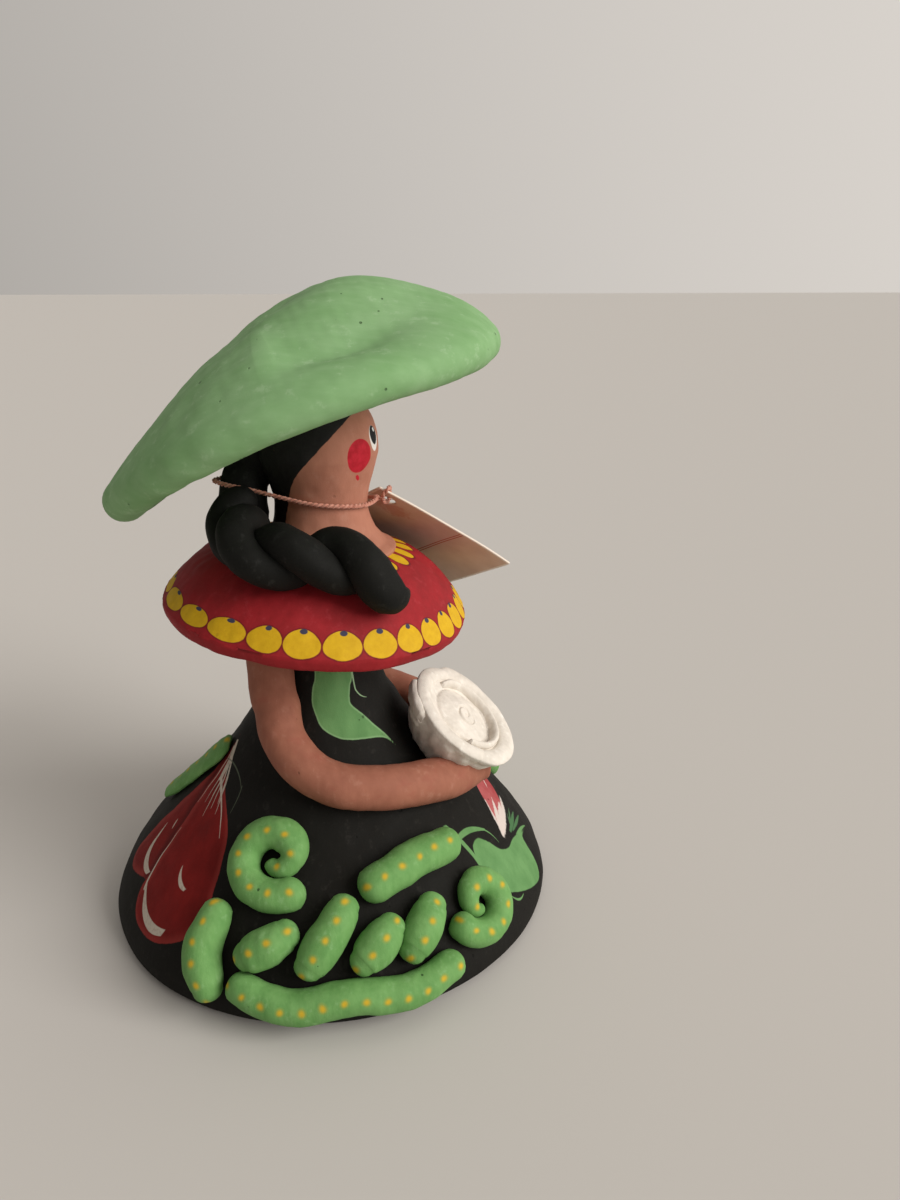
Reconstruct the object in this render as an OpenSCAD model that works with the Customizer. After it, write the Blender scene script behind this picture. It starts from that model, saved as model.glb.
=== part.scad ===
// Hand-modelled clay figure of a woman in a bell-shaped dress, with a wide hat,
// a domed collar, a braid over her right shoulder, a rose in her arms and a tag
// on a twine round her neck. She faces -Y, her right side is -X, and the origin
// is the centre of the dress's foot, on the surface that it stands on.

/* [Dress] */
// Largest radius of the dress, just above its foot
foot_r = 59; // [50:1:72]
// Height of the dress up to the seat of the collar
dress_h = 88; // [74:1:106]
// Thickness of the dress's clay wall
wall = 5; // [4:0.5:6]

/* [Neck and head] */
// Radius of the neck at its narrowest
neck_r = 11.4; // [9.5:0.1:13.7]
// Radius of the head at its widest
head_r = 14.5; // [12:0.1:17.4]
// Height of the head's widest point above the dress
head_rise = 34.5; // [32:0.5:42]
// How far the neck stands ahead of the dress's axis
neck_ahead = 1.3; // [0:0.1:2]
// Radius of the neck's peg inside the dress
peg_r = 7; // [5.5:0.1:7.4]

/* [Collar] */
// Radius of the collar's rim
collar_r = 38; // [32:0.5:46]
// Height of the collar's dome above its rim
collar_rise = 16.4; // [14:0.2:20]
// Forward tilt of the collar, in degrees
collar_tilt = 6.6; // [5:0.1:8]
// Thickness of the collar
collar_t = 3.4; // [2.8:0.1:4.2]

/* [Hat] */
// Length of the hat from back tip to front tip
hat_len = 101; // [84:1:122]
// Width of the hat from side to side
hat_wid = 94; // [78:1:114]
// Rise of the hat's back, in degrees
hat_tilt = 22; // [16:1:26]
// Thickness of the hat's edge
hat_t = 9; // [7:0.5:11]
// Height of the hat's middle layer above its rim
hat_rise = 24.5; // [20.5:0.5:29]

/* [Arms, hair and rose] */
// Diameter of an arm
arm_d = 11; // [9:0.1:13]
// Diameter of the roll of hair behind the head
root_d = 10.4; // [8.5:0.1:12.4]
// Diameter of one strand of the braid
strand_d = 8.6; // [7:0.1:10.4]
// Length of one full turn of the braid
braid_pitch = 30; // [25:1:36]
// Radius of the rose's open face
rose_r = 15.6; // [13:0.1:18.8]
// Depth of the rose behind its face
rose_depth = 15; // [12.5:0.5:18]

/* [Raised rolls] */
// Width of a raised roll on the dress
roll_w = 9.2; // [7.6:0.1:10]
// Width of the thinner rolls that are wound into coils
coil_w = 7.8; // [6.5:0.1:8.2]

/* [Twine and tag] */
// Diameter of the twine
twine_d = 1.1; // [0.9:0.1:1.4]
// Length of the tag's card
tag_len = 42; // [35:1:51]
// Width of the tag's card
tag_wid = 32; // [26:1:35]
// Thickness of the tag's card
tag_t = 0.5; // [0.4:0.1:0.8]
// Diameter of the hole in the tag
tag_hole_d = 4; // [3.6:0.1:4.8]

/* [Hidden] */
SIDES = ["right", "left"];
ROLLS = ["back_coil", "back_leaf", "hem_stem", "stem_leaf_1", "stem_leaf_2", "stem_leaf_3",
         "stem_leaf_4", "top_sprig", "front_coil"];
SIDE_ROLLS = [for (s = SIDES) for (r = ROLLS) str(s, "_", r)];

// Clear distance between pieces that lie against each other
seat_gap = 0.2;
// Fineness of the turned pieces
turned_fn = 96;

// Dress outline, as shares of its height and of its largest radius
DRESS_BELL = [[0, 0.98], [0.017, 1], [0.057, 0.993], [0.1, 0.966], [0.15, 0.92],
              [0.2, 0.865], [0.25, 0.8], [0.34, 0.66], [0.41, 0.556], [0.48, 0.461],
              [0.56, 0.376], [0.63, 0.314], [0.68, 0.268], [0.75, 0.234],
              [0.82, 0.22], [1, 0.203]];
dress_top_r = foot_r * 0.203;
bore_r = peg_r + seat_gap;
cavity_top = 0.7 * dress_h;

// Heights that follow from the dress
head_z = dress_h + head_rise;
collar_z = dress_h - 4.8;
peg_z = dress_h - 20;
seat_z = dress_h + 5;
flare_z = dress_h + 9.2;

// Collar outline
collar_power = 3.8;
boss_r = dress_top_r + 3;
collar_pos = [0, 1, collar_z];

// Hat frame
hat_pos = [0, 1.2, head_z + 4.6];
hat_a = hat_len / 2 - hat_t / 2;
hat_b = hat_wid / 2 - hat_t / 2;
hat_fill = 13;
hat_side = 7.4;
hat_front = 2.6;
hat_back = 0.6;
hat_dip = 6;
hat_sag = 2.9;

// Frame of the rose: centre of its face and the angles that it is turned by
rose_pos = [-4.5, -dress_at(0.55 * dress_h) - rose_depth + 0.5, 0.6 * dress_h];
rose_turn = [0, 40, 257];

// Knot of the twine, in front of the neck, and the tag that hangs from it
knot_r = 1.1;
knot_pos = [3, -neck_ahead - neck_r - 1.8, head_z - 13.8];
tag_turn = [-28, 31, -72];
tag_off = [0.6, -0.8, 2.2];
hole_in = [5, 4.5];

// Vector helpers

function unit(v) = v / norm(v);
function mix(a, b, t) = a * (1 - t) + b * t;
function at_end(list) = list[len(list) - 1];

// Point on a smooth curve through four neighbours
function spline_point(a, b, c, d, t) =
    0.5 * ((2 * b) + (c - a) * t + (2 * a - 5 * b + 4 * c - d) * t * t
           + (3 * b - a - 3 * c + d) * t * t * t);

// Smooth curve through the points, with n steps between neighbours
function smooth(p, n) =
    let (k = len(p) - 1)
    concat([for (i = [0 : k - 1]) for (j = [0 : n - 1])
                spline_point(p[max(i - 1, 0)], p[i], p[i + 1], p[min(i + 2, k)], j / n)],
           [p[k]]);

// Closed smooth curve through the points
function smooth_loop(p, n) =
    let (k = len(p))
    [for (i = [0 : k - 1]) for (j = [0 : n - 1])
        spline_point(p[(i + k - 1) % k], p[i], p[(i + 1) % k], p[(i + 2) % k], j / n)];

// Direction of the curve at each of its points
function directions(c) =
    let (k = len(c) - 1)
    [for (i = [0 : k]) unit(c[min(i + 1, k)] - c[max(i - 1, 0)])];

// Surfaces that other pieces lie on

function dress_at(z) = foot_r * lookup(z / dress_h, DRESS_BELL);
function dress_slope(z) = (dress_at(z + 2) - dress_at(z - 2)) / 4;
function dress_out(az, z) = unit([cos(az), sin(az), -dress_slope(z)]);
function on_dress(az, z, off) =
    [dress_at(z) * cos(az), dress_at(z) * sin(az), z] + off * dress_out(az, z);

function dome_at(r) = collar_rise * (1 - pow(min(r / collar_r, 1), collar_power));
function tilt_x(p, a) = [p.x, p.y * cos(a) - p.z * sin(a), p.y * sin(a) + p.z * cos(a)];
function dome_out(az, r) =
    let (s = (dome_at(r - 1) - dome_at(r + 1)) / 2)
    unit([s * cos(az), s * sin(az), 1]);
function on_collar(az, r, off) =
    collar_pos + tilt_x([r * cos(az), r * sin(az), dome_at(r)]
                        + off * dome_out(az, r), collar_tilt);

// Rolls: a rounded section swept along a curve, with round ends. "up" points
// away from the surface that the roll lies on, "under" is how far the section
// reaches below the curve, and "high" is its height as a share of its width.

function roll_ring(c, dir, up, w, under, high, sides) =
    let (side = unit(cross(dir, up)), top = cross(side, dir))
    [for (k = [0 : sides - 1])
        let (a = 360 * k / sides)
        c + side * w * cos(a) + top * max(w * high * sin(a), -under)];

function cap_rings(c, dir, up, w, under, high, sides, sign) =
    [for (a = sign > 0 ? [25, 50, 75] : [75, 50, 25])
        roll_ring(c + dir * sign * w * sin(a), dir, up, w * cos(a),
                  under * (0.4 + 0.6 * cos(a)), high, sides)];

function roll_rings(c, up, w, under, high, sides) =
    let (d = directions(c), k = len(c) - 1)
    concat(cap_rings(c[0], d[0], up[0], w[0], under, high, sides, -1),
           [for (i = [0 : k]) roll_ring(c[i], d[i], up[i], w[i], under, high, sides)],
           cap_rings(c[k], d[k], up[k], w[k], under, high, sides, 1));

// Skin over rings of points. Closed rings of rings make a loop.
module skin(rings, loop = false) {
    m = len(rings);
    s = len(rings[0]);
    last = loop ? m - 1 : m - 2;
    walls = [for (i = [0 : last]) for (k = [0 : s - 1])
                let (a = i * s, b = ((i + 1) % m) * s, n = (k + 1) % s)
                [a + k, a + n, b + n, b + k]];
    ends = loop ? [] : [[for (k = [s - 1 : -1 : 0]) k], [for (k = [0 : s - 1]) (m - 1) * s + k]];
    points = [for (r = rings) for (p = r) p];
    polyhedron(points = points, faces = concat(walls, ends), convexity = 10);
}

module roll(c, up, w, under, high = 1, sides = 12) {
    skin(roll_rings(c, up, w, under, high, sides));
}

// Roll on the dress through [azimuth, height] points. The ends are narrowed to
// "tip" of the full width.
module dress_roll(route, width, tip, high = 1, steps = 4) {
    under = 0.3 * width * high;
    p = smooth(route, steps);
    k = len(p) - 1;
    w = [for (i = [0 : k]) width / 2 * mix(tip, 1, pow(sin(180 * i / k), 0.85))];
    c = [for (q = p) on_dress(q[0], q[1], under + seat_gap)];
    up = [for (q = p) dress_out(q[0], q[1])];
    roll(c, up, w, under, high);
}

// Route of a coil round a point of the dress, from its heart to its tail
function coil_route(az, z, r_in, r_out, turns, start) =
    let (rise = 1 / sqrt(1 + pow(dress_slope(z), 2)), n = ceil(abs(turns) * 12))
    [for (i = [0 : n])
        let (t = i / n, r = mix(r_in, r_out, t), a = start + 360 * turns * t)
        [az + r * cos(a) / dress_at(z) * 180 / PI, z + r * sin(a) * rise]];

module dress_coil(az, z, width, r_out, turns, start, spin) {
    under = 0.3 * width;
    r_in = 0.28 * width;
    p = coil_route(az, z, r_in, r_out, spin * turns, start);
    k = len(p) - 1;
    w = [for (i = [0 : k]) min(width / 2, 0.8 * mix(r_in, r_out, i / k))];
    c = [for (q = p) on_dress(q[0], q[1], under + seat_gap)];
    up = [for (q = p) dress_out(q[0], q[1])];
    roll(c, up, w, under);
}

// Dress: a hollow bell, open underneath, with a bore for the neck's peg

function inner_radius(z) = dress_at(z) - wall * sqrt(1 + pow(dress_slope(z), 2));

module dress_outline() {
    outer = [for (p = DRESS_BELL) [foot_r * p[1], dress_h * p[0]]];
    inner = [for (p = DRESS_BELL) if (dress_h * p[0] < cavity_top)
                [inner_radius(dress_h * p[0]), dress_h * p[0]]];
    crown = [[0, cavity_top], [0, dress_h]];
    down = [for (i = [len(outer) - 1 : -1 : 0]) outer[i]];
    polygon(concat(inner, crown, down));
}

module dress() {
    color([0.06, 0.055, 0.05])
        difference() {
            rotate_extrude($fn = turned_fn)
                dress_outline();
            translate([0, -neck_ahead, cavity_top - 1])
                cylinder(r = bore_r, h = dress_h, $fn = turned_fn);
        }
}

// Neck and head: one turned pin with a flared foot and a peg

function pin_profile(g) =
    [[0, peg_z - g], [peg_r + g, peg_z - g], [peg_r + g, seat_z - g],
     [neck_r + 4.5 + g, seat_z - g], [neck_r + 6.6 + g, flare_z], [neck_r + 4.2 + g, flare_z + 1.4],
     [neck_r + 1.9 + g, flare_z + 4], [neck_r + 0.5 + g, flare_z + 7.6],
     [neck_r + g, head_z - 13.5], [neck_r + 0.7 + g, head_z - 9.6],
     [mix(neck_r, head_r, 0.62) + g, head_z - 5.8], [mix(neck_r, head_r, 0.92) + g, head_z - 2.6]];

module pin(g) {
    dome = [for (a = [0 : 9 : 90]) [(head_r + g) * cos(a), head_z + (head_r + 0.6 + g) * sin(a)]];
    translate([0, -neck_ahead, 0])
        rotate_extrude($fn = turned_fn)
            polygon(concat(pin_profile(g), dome));
}

module neck_and_head() {
    color([0.45, 0.24, 0.18])
        pin(0);
}

// Collar: a thin dome with a thick middle that seats on the dress

module collar_outline() {
    r_in = collar_r - collar_t;
    outer = [for (i = [0 : 12]) let (r = collar_r * pow(sin(90 * i / 12), 0.8)) [r, dome_at(r)]];
    lip = [[collar_r - 0.3, -0.55 * collar_t], [collar_r - 1.3, -collar_t]];
    under = [for (i = [10 : -1 : 0])
                let (r = mix(boss_r, r_in, i / 10))
                [r, (collar_rise - collar_t) * (1 - pow(r / r_in, 3.2)) - 0.9 * collar_t]];
    hub = [[boss_r, dress_h - 2.2 - collar_z], [0, dress_h - 2.2 - collar_z]];
    polygon(concat(outer, lip, under, hub));
}

module collar() {
    color([0.6, 0.04, 0.1])
        difference() {
            translate(collar_pos)
                rotate([collar_tilt, 0, 0])
                    rotate_extrude($fn = turned_fn)
                        collar_outline();
            translate([0, 0, dress_h - 12])
                cylinder(r = foot_r * 0.211, h = 12 + seat_gap / 2, $fn = turned_fn);
            pin(seat_gap / 2);
        }
}

// Hat: a thick slab draped over the head, tilted back

function hat_power(a) = 2.02 - 1.62 * sin(a) + 0.75 * pow(sin(a), 2);
function hat_edge(a) = mix(sin(a) > 0 ? hat_back : hat_front, hat_side, pow(cos(a), 2));
function hat_dent(a, r) =
    hat_dip * max(0, 1 - pow((sin(a) + 0.62) / 0.52, 2)) * pow(sin(180 * pow(r, 2.4)), 2)
    + hat_sag * exp(-pow(r / 0.2, 2));
function hat_mid(a, r) =
    [hat_b * r * cos(a), hat_a * r * sin(a),
     hat_edge(a) + (hat_rise - hat_edge(a)) * (1 - pow(r, hat_power(a))) - hat_dent(a, r)];
function hat_normal(a, r) =
    let (e = 0.02, u = hat_mid(a, r + e) - hat_mid(a, r - e), v = hat_mid(a + 2, r) - hat_mid(a - 2, r))
    unit(cross(u, v));
function hat_under(a, r) =
    let (n = hat_normal(a, max(r, 0.05)))
    hat_mid(a, r) - n * hat_t / 2 - [0, 0, hat_fill * pow(1 - r * r, 2)];
function hat_over(a, r) =
    hat_mid(a, r) + hat_normal(a, max(r, 0.05)) * hat_t / 2;
function hat_lip(a, turn) =
    let (n = hat_normal(a, 1), out = unit(hat_mid(a, 1.02) - hat_mid(a, 0.98)))
    hat_mid(a, 1) + (n * cos(turn) + out * sin(turn)) * hat_t / 2;

module hat() {
    around = [0 : 7.5 : 352.5];
    levels = [0.06, 0.2, 0.35, 0.5, 0.62, 0.74, 0.84, 0.93];
    over = [for (r = levels) [for (a = around) hat_over(a, r)]];
    lip = [for (t = [0 : 30 : 180]) [for (a = around) hat_lip(a, t)]];
    under = [for (i = [len(levels) - 1 : -1 : 0]) [for (a = around) hat_under(a, levels[i])]];
    color([0.35, 0.62, 0.3])
        difference() {
            translate(hat_pos)
                rotate([-hat_tilt, 0, 0])
                    skin(concat(over, lip, under));
            translate([0, -neck_ahead, 0])
                translate([0, 0, head_z])
                    sphere(r = head_r + 0.6 + seat_gap / 2, $fn = 64);
        }
}

// Arms: bent rolls from the shoulders to the hands, as [azimuth, height] on the
// dress for the right arm

ARM_ROUTE = [[138, 78], [140, 71], [144, 64], [153, 58], [163, 52], [176, 47], [190, 43.5],
             [205, 41.5], [220, 40], [236, 37.8], [250, 35.8], [260, 34.2]];

module right_arm() {
    under = arm_d * 0.42;
    rise = dress_h / 88;
    p = smooth(ARM_ROUTE, 3);
    c = [for (q = p) on_dress(q[0], q[1] * rise, under + seat_gap)];
    up = [for (q = p) dress_out(q[0], q[1] * rise)];
    w = [for (q = p) arm_d / 2];
    color([0.45, 0.24, 0.18])
        roll(c, up, w, under, sides = 16);
}

module left_arm() {
    mirror([1, 0, 0])
        right_arm();
}

// What is left of a piece where the arms lie over it
module clear_of_arms() {
    difference() {
        children();
        right_arm();
        left_arm();
    }
}

// Hair: a roll behind the head, and two strands twisted into a braid that lies
// on the collar over the right shoulder

ROOT_ROUTE = [[0, 16, -5], [-0.8, 16.9, -6.6], [-1.6, 17.8, -8.5], [-2.5, 18.2, -12],
              [-3.5, 18.2, -15.5]];
BRAID_ROUTE = [[119, 19.5], [131, 21.8], [144, 24], [158, 25.5], [171, 25.5], [184, 25],
               [197, 25], [208, 26], [216, 27]];

module hair_root() {
    c = smooth([for (p = ROOT_ROUTE) [p.x, p.y - neck_ahead * 0.5, p.z + head_z]], 3);
    up = [for (q = c) [0, 1, 0.2]];
    w = [for (q = c) root_d / 2];
    color([0.07, 0.06, 0.055])
        difference() {
            roll(c, up, w, root_d, sides = 16);
            pin(seat_gap);
            strand(0);
            strand(180);
        }
}

module strand(phase) {
    r = strand_d / 2;
    helix_r = 0.74 * r;
    p = smooth(BRAID_ROUTE, 4);
    mid = [for (q = p) on_collar(q[0], q[1], r + helix_r + seat_gap)];
    d = directions(mid);
    k = len(p) - 1;
    step = norm(mid[k] - mid[0]) * 1.24 / k;
    radial = [for (i = [0 : k])
                let (n = unit(mid[i] - on_collar(p[i][0], p[i][1], 0)), s = cross(d[i], n),
                     a = phase + 360 * i * step / braid_pitch)
                n * cos(a) + s * sin(a)];
    c = [for (i = [0 : k]) mid[i] + radial[i] * helix_r];
    w = [for (i = [0 : k]) r * mix(0.72, 1, pow(sin(180 * i / k), 0.4))];
    roll(c, radial, w, helix_r - seat_gap, sides = 14);
}

module braid_strand_1() {
    color([0.07, 0.06, 0.055])
        strand(0);
}

module braid_strand_2() {
    color([0.07, 0.06, 0.055])
        difference() {
            strand(180);
            strand(0);
        }
}

// Rose: a rolled bud inside petals that wrap part of the way round

module in_rose() {
    translate(rose_pos)
        rotate(rose_turn)
            children();
}

module petal(r_in, r_out, start, angle, top) {
    lip = (r_out - r_in) * 0.5;
    foot = -0.85 * rose_depth;
    color([0.85, 0.83, 0.8])
        difference() {
            in_rose()
                rotate([0, 0, start])
                    rotate_extrude(angle = angle, $fn = turned_fn)
                        polygon([[r_in, top - 0.5], [r_in + lip, top + 0.4], [r_out, top - 0.6],
                                 [r_out, top - 4], [r_out * 0.66, foot], [r_in * 0.66, foot],
                                 [r_in, top - 5]]);
            dress_solid(seat_gap);
            right_arm();
            left_arm();
        }
}

module dress_solid(g) {
    rotate_extrude($fn = turned_fn)
        polygon(concat([[0, 0]], [for (p = DRESS_BELL) [foot_r * p[1] + g * 1.5, dress_h * p[0]]],
                       [[0, dress_h]]));
}

bud_r = 0.56 * rose_r;
petal_t = 0.2 * rose_r;

module rose_bud() {
    color([0.88, 0.86, 0.83])
        difference() {
            in_rose()
                rotate_extrude($fn = turned_fn)
                    polygon([[0, -1.2], [bud_r * 0.4, -0.4], [bud_r * 0.85, -0.6], [bud_r, -2],
                             [bud_r, -5], [bud_r * 0.5, -rose_depth], [0, -rose_depth]]);
            dress_solid(seat_gap);
            right_arm();
            left_arm();
        }
}

// Twine round the neck and the roll of hair, as places round the head

TWINE_ROUTE = [[3, -14.4, -13.7], [-4.5, -13, -13.6], [-10.2, -8.4, -12.7], [-12.6, -1, -11.6],
               [-11, 7, -10.2], [-8.6, 15, -8.8], [-7.2, 19.8, -8.2], [-2.6, 24, -8],
               [3.6, 20.8, -8.4], [6.8, 14, -9.4], [10.8, 6, -11.4], [12.4, -1.4, -13.8],
               [9.8, -8.6, -15.2]];

// Rings of a round cord along a closed curve
function cord_rings(c) =
    let (k = len(c))
    [for (i = [0 : k - 1])
        let (d = unit(c[(i + 1) % k] - c[(i + k - 1) % k]), s = unit(cross(d, [0.1, 0.2, 1])),
             t = cross(s, d))
        [for (j = [0 : 7]) c[i] + twine_d / 2 * (s * cos(45 * j) + t * sin(45 * j))]];

module twine() {
    swell = neck_r - 11.4;
    at = [for (p = TWINE_ROUTE) p + swell * unit([p.x, p.y, 0]) + [0, 0, head_z]];
    color([0.75, 0.38, 0.3])
        difference() {
            skin(cord_rings(smooth_loop(at, 4)), true);
            strand(0);
            strand(180);
        }
}

module knot() {
    color([0.75, 0.38, 0.3])
        difference() {
            translate(knot_pos)
                sphere(r = knot_r, $fn = 32);
            twine();
        }
}

// Tag: a card with a hole, on a small loop of twine through the knot

module in_tag() {
    translate(knot_pos + tag_off)
        rotate(tag_turn)
            children();
}

module tag() {
    color([0.75, 0.66, 0.52])
        in_tag()
            difference() {
                cube([tag_len, tag_wid, tag_t]);
                translate([hole_in[0], hole_in[1], -1])
                    cylinder(d = tag_hole_d, h = tag_t + 2, $fn = 32);
            }
}

// Route of the loop that runs through the card's hole and round its edge
LOOP_ROUTE = [[1.9, 0.8, -1.2], [3.3, 2.8, -1.3], [4.7, 4.3, -0.4], [5, 4.6, 1], [3.8, 2.6, 1.8],
              [2.5, 0, 1.6], [1.6, -1.4, 0.3], [1.5, -0.6, -0.8]];

module tag_loop() {
    color([0.75, 0.38, 0.3])
        in_tag()
            skin(cord_rings(smooth_loop(LOOP_ROUTE, 3)), true);
}

// Raised rolls on the dress, as [azimuth, height] on the right side

module side_roll(name) {
    color([0.36, 0.6, 0.34]) {
        if (name == "back_coil")
            clear_of_arms()
                dress_coil(168, 30.8, coil_w, 9.2, 1.12, -103, 1);
        if (name == "back_leaf")
            dress_roll([[155, 20.5], [154.5, 14], [158, 8]], roll_w, 0.55);
        if (name == "hem_stem")
            dress_roll([[165.5, 9.5], [177, 7], [190, 8.2], [203, 7], [214, 8.8]],
                       0.88 * roll_w, 0.75);
        if (name == "stem_leaf_1")
            dress_roll([[166, 15], [170.5, 16.8], [175, 19.2]], roll_w, 0.5);
        if (name == "stem_leaf_2")
            dress_roll([[181, 14], [185, 18], [190, 23]], roll_w, 0.5);
        if (name == "stem_leaf_3")
            dress_roll([[193.5, 14], [197, 16], [201.5, 18.8]], roll_w, 0.5);
        if (name == "stem_leaf_4")
            dress_roll([[205.5, 14], [209, 16.5], [213.5, 19.8]], roll_w, 0.5);
        if (name == "top_sprig")
            clear_of_arms()
                dress_roll([[199, 25.5], [213, 27.5], [226.5, 27.5]], roll_w, 0.85);
        if (name == "front_coil")
            dress_coil(228, 16.2, 0.9 * coil_w, 7.8, 1.1, 236, -1);
    }
}

module back_leaf() {
    color([0.36, 0.6, 0.34])
        dress_roll([[103, 43], [96, 36], [88, 25]], roll_w, 0.4, 0.4);
}

dress();
collar();
neck_and_head();
hat();
right_arm();
left_arm();
hair_root();
braid_strand_1();
braid_strand_2();
rose_bud();
petal(bud_r + seat_gap, bud_r + petal_t, 40, 250, 0);  // rose_inner_petal
petal(bud_r + petal_t + seat_gap, rose_r, 150, 160, -1);  // rose_outer_petal_1
petal(bud_r + petal_t + seat_gap, rose_r, 320, 172, -1);  // rose_outer_petal_2
back_leaf();
for (r = ROLLS) {
    side_roll(r);
    mirror([1, 0, 0]) side_roll(r);
}
twine();
knot();
tag();
tag_loop();
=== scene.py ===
"""Hand-modelled, hand-painted clay figurine of a woman: bell dress, domed collar, wide hat,
braid, rose, raised rolls and a card tag on a twine. All sizes are in millimetres until a
mesh is made, and the frame is the CAD model's: she faces -Y and her right side is -X."""

import logging
from dataclasses import dataclass, field
from enum import Enum
from typing import Any, Callable, Iterable, Optional, Sequence, Union

import bpy
import numpy as np
from mathutils import Matrix, Vector


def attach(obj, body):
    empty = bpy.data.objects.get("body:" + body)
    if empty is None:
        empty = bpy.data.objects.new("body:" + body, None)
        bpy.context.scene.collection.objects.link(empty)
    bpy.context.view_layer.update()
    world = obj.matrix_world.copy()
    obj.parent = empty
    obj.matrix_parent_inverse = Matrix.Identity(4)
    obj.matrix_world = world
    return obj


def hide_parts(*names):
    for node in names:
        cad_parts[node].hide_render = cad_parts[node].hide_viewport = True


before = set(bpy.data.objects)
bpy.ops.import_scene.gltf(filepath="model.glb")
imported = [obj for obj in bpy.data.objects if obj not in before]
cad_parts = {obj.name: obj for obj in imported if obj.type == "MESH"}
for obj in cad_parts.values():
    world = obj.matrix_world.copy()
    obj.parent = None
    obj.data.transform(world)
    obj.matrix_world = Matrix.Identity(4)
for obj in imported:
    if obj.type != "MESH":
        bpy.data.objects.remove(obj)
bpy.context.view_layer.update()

LOG = logging.getLogger("figurine")
MM = 0.001
CARD_SIZE = (42.0, 32.0)
Array = np.ndarray
Colour = tuple[float, float, float]
Value = Union[float, "Wire"]


# ---------------------------------------------------------------------------
# Whole-array maths


def unit(v: Array) -> Array:
    """Vectors of length 1 along v's last axis."""
    return v / np.maximum(np.linalg.norm(v, axis=-1, keepdims=True), 1e-9)


def mix(a: Any, b: Any, t: Any) -> Any:
    """Straight blend: a where t is 0, b where t is 1."""
    return a * (1 - t) + b * t


def ease(x: Array, low: float, high: float) -> Array:
    """Smooth step: 0 below low, 1 above high, and 3t^2 - 2t^3 between them."""
    t = np.clip((x - low) / (high - low), 0, 1)
    return t * t * (3 - 2 * t)


def spline(points: Sequence, steps: int, closed: bool = False) -> Array:
    """Curve through the points, each span the cubic that leaves both ends along their neighbours' chord.

    Args:
        points: the points, one row each.
        steps: points made for each span.
        closed: whether the last point joins the first.
    Returns:
        The curve's points, one row each.
    """
    p = np.asarray(points, float)
    n = len(p)
    i = np.arange(n if closed else n - 1)[:, None]
    a, b, c, d = (p[(i + o) % n if closed else np.clip(i + o, 0, n - 1)] for o in (-1, 0, 1, 2))
    t = (np.arange(steps) / steps)[None, :, None]
    q = 0.5 * (2 * b + (c - a) * t + (2 * a - 5 * b + 4 * c - d) * t**2 + (3 * b - a - 3 * c + d) * t**3)
    q = q.reshape(-1, p.shape[1])
    return q if closed else np.vstack([q, p[-1]])


def tangents(curve: Array, closed: bool = False) -> Array:
    """Direction of a curve at each of its points, from its neighbours on both sides."""
    if closed:
        return unit(np.roll(curve, -1, 0) - np.roll(curve, 1, 0))
    return unit(np.gradient(curve, axis=0))


def lumps(p: Array, wave: float, seed: int, count: int = 14) -> Array:
    """Smooth hand-made unevenness: the mean of sine waves in fixed random directions.

    Args:
        p: points, in mm.
        wave: usual distance between two bumps, in mm.
        seed: choice of the waves.
        count: how many waves are added.
    Returns:
        A height of about -1 to 1 for each point.
    """
    rng = np.random.default_rng(seed)
    k = unit(rng.normal(size=(count, 3))) * (2 * np.pi / wave) * rng.uniform(0.6, 1.5, (count, 1))
    phase = rng.uniform(0, 2 * np.pi, count)
    return np.sin(p @ k.T + phase).mean(-1) * 2.2


def revolved(rings: Array, angles: Array) -> Array:
    """A grid of points: rows of (radius, height), each turned to every angle, in radians."""
    x, y = rings[:, :1] * np.cos(angles), rings[:, :1] * np.sin(angles)
    return np.stack([x, y, np.repeat(rings[:, 1:], len(angles), 1)], -1)


def grid_normals(p: Array, wrap_rows: bool, wrap_columns: bool) -> Array:
    """Unit normals of a grid of points: the cross product of its two directions."""

    def along(axis: int, wrap: bool) -> Array:
        """Difference between each point's neighbours on that axis."""
        if wrap:
            return np.roll(p, -1, axis) - np.roll(p, 1, axis)
        return np.gradient(p, axis=axis)

    return unit(np.cross(along(1, wrap_columns), along(0, wrap_rows)))


def inside_of(outline: Array, x: Array, y: Array, block: int = 20000) -> Array:
    """Signed distance to a closed outline in a plane: positive inside it, negative outside.

    The distance is the least one to any of the outline's segments, and the sign comes from
    how many segments a line from the point crosses.

    Args:
        outline: the outline's points, one row each.
        x: first coordinate of the points to measure.
        y: second coordinate of the points to measure.
        block: how many points are measured at once.
    Returns:
        The signed distances, in the shape of x.
    """
    a, b = outline, np.roll(outline, -1, 0)
    d = b - a
    flat = np.stack([x.ravel(), y.ravel()], -1)
    parts = []
    for start in range(0, len(flat), block):
        q = flat[start : start + block, None, :] - a[None]
        t = np.clip((q * d).sum(-1) / np.maximum((d * d).sum(-1), 1e-12), 0, 1)
        gap = np.linalg.norm(q - t[..., None] * d, axis=-1).min(1)
        py = flat[start : start + block, 1][:, None]
        px = flat[start : start + block, 0][:, None]
        crosses = (a[:, 1] > py) != (b[:, 1] > py)
        at = a[:, 0] + (py - a[:, 1]) * d[:, 0] / np.where(d[:, 1] == 0, 1e-12, d[:, 1])
        odd = (crosses & (at > px)).sum(1) % 2 == 1
        parts.append(np.where(odd, gap, -gap))
    return np.concatenate(parts).reshape(x.shape)


# ---------------------------------------------------------------------------
# Meshes from grids


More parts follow.
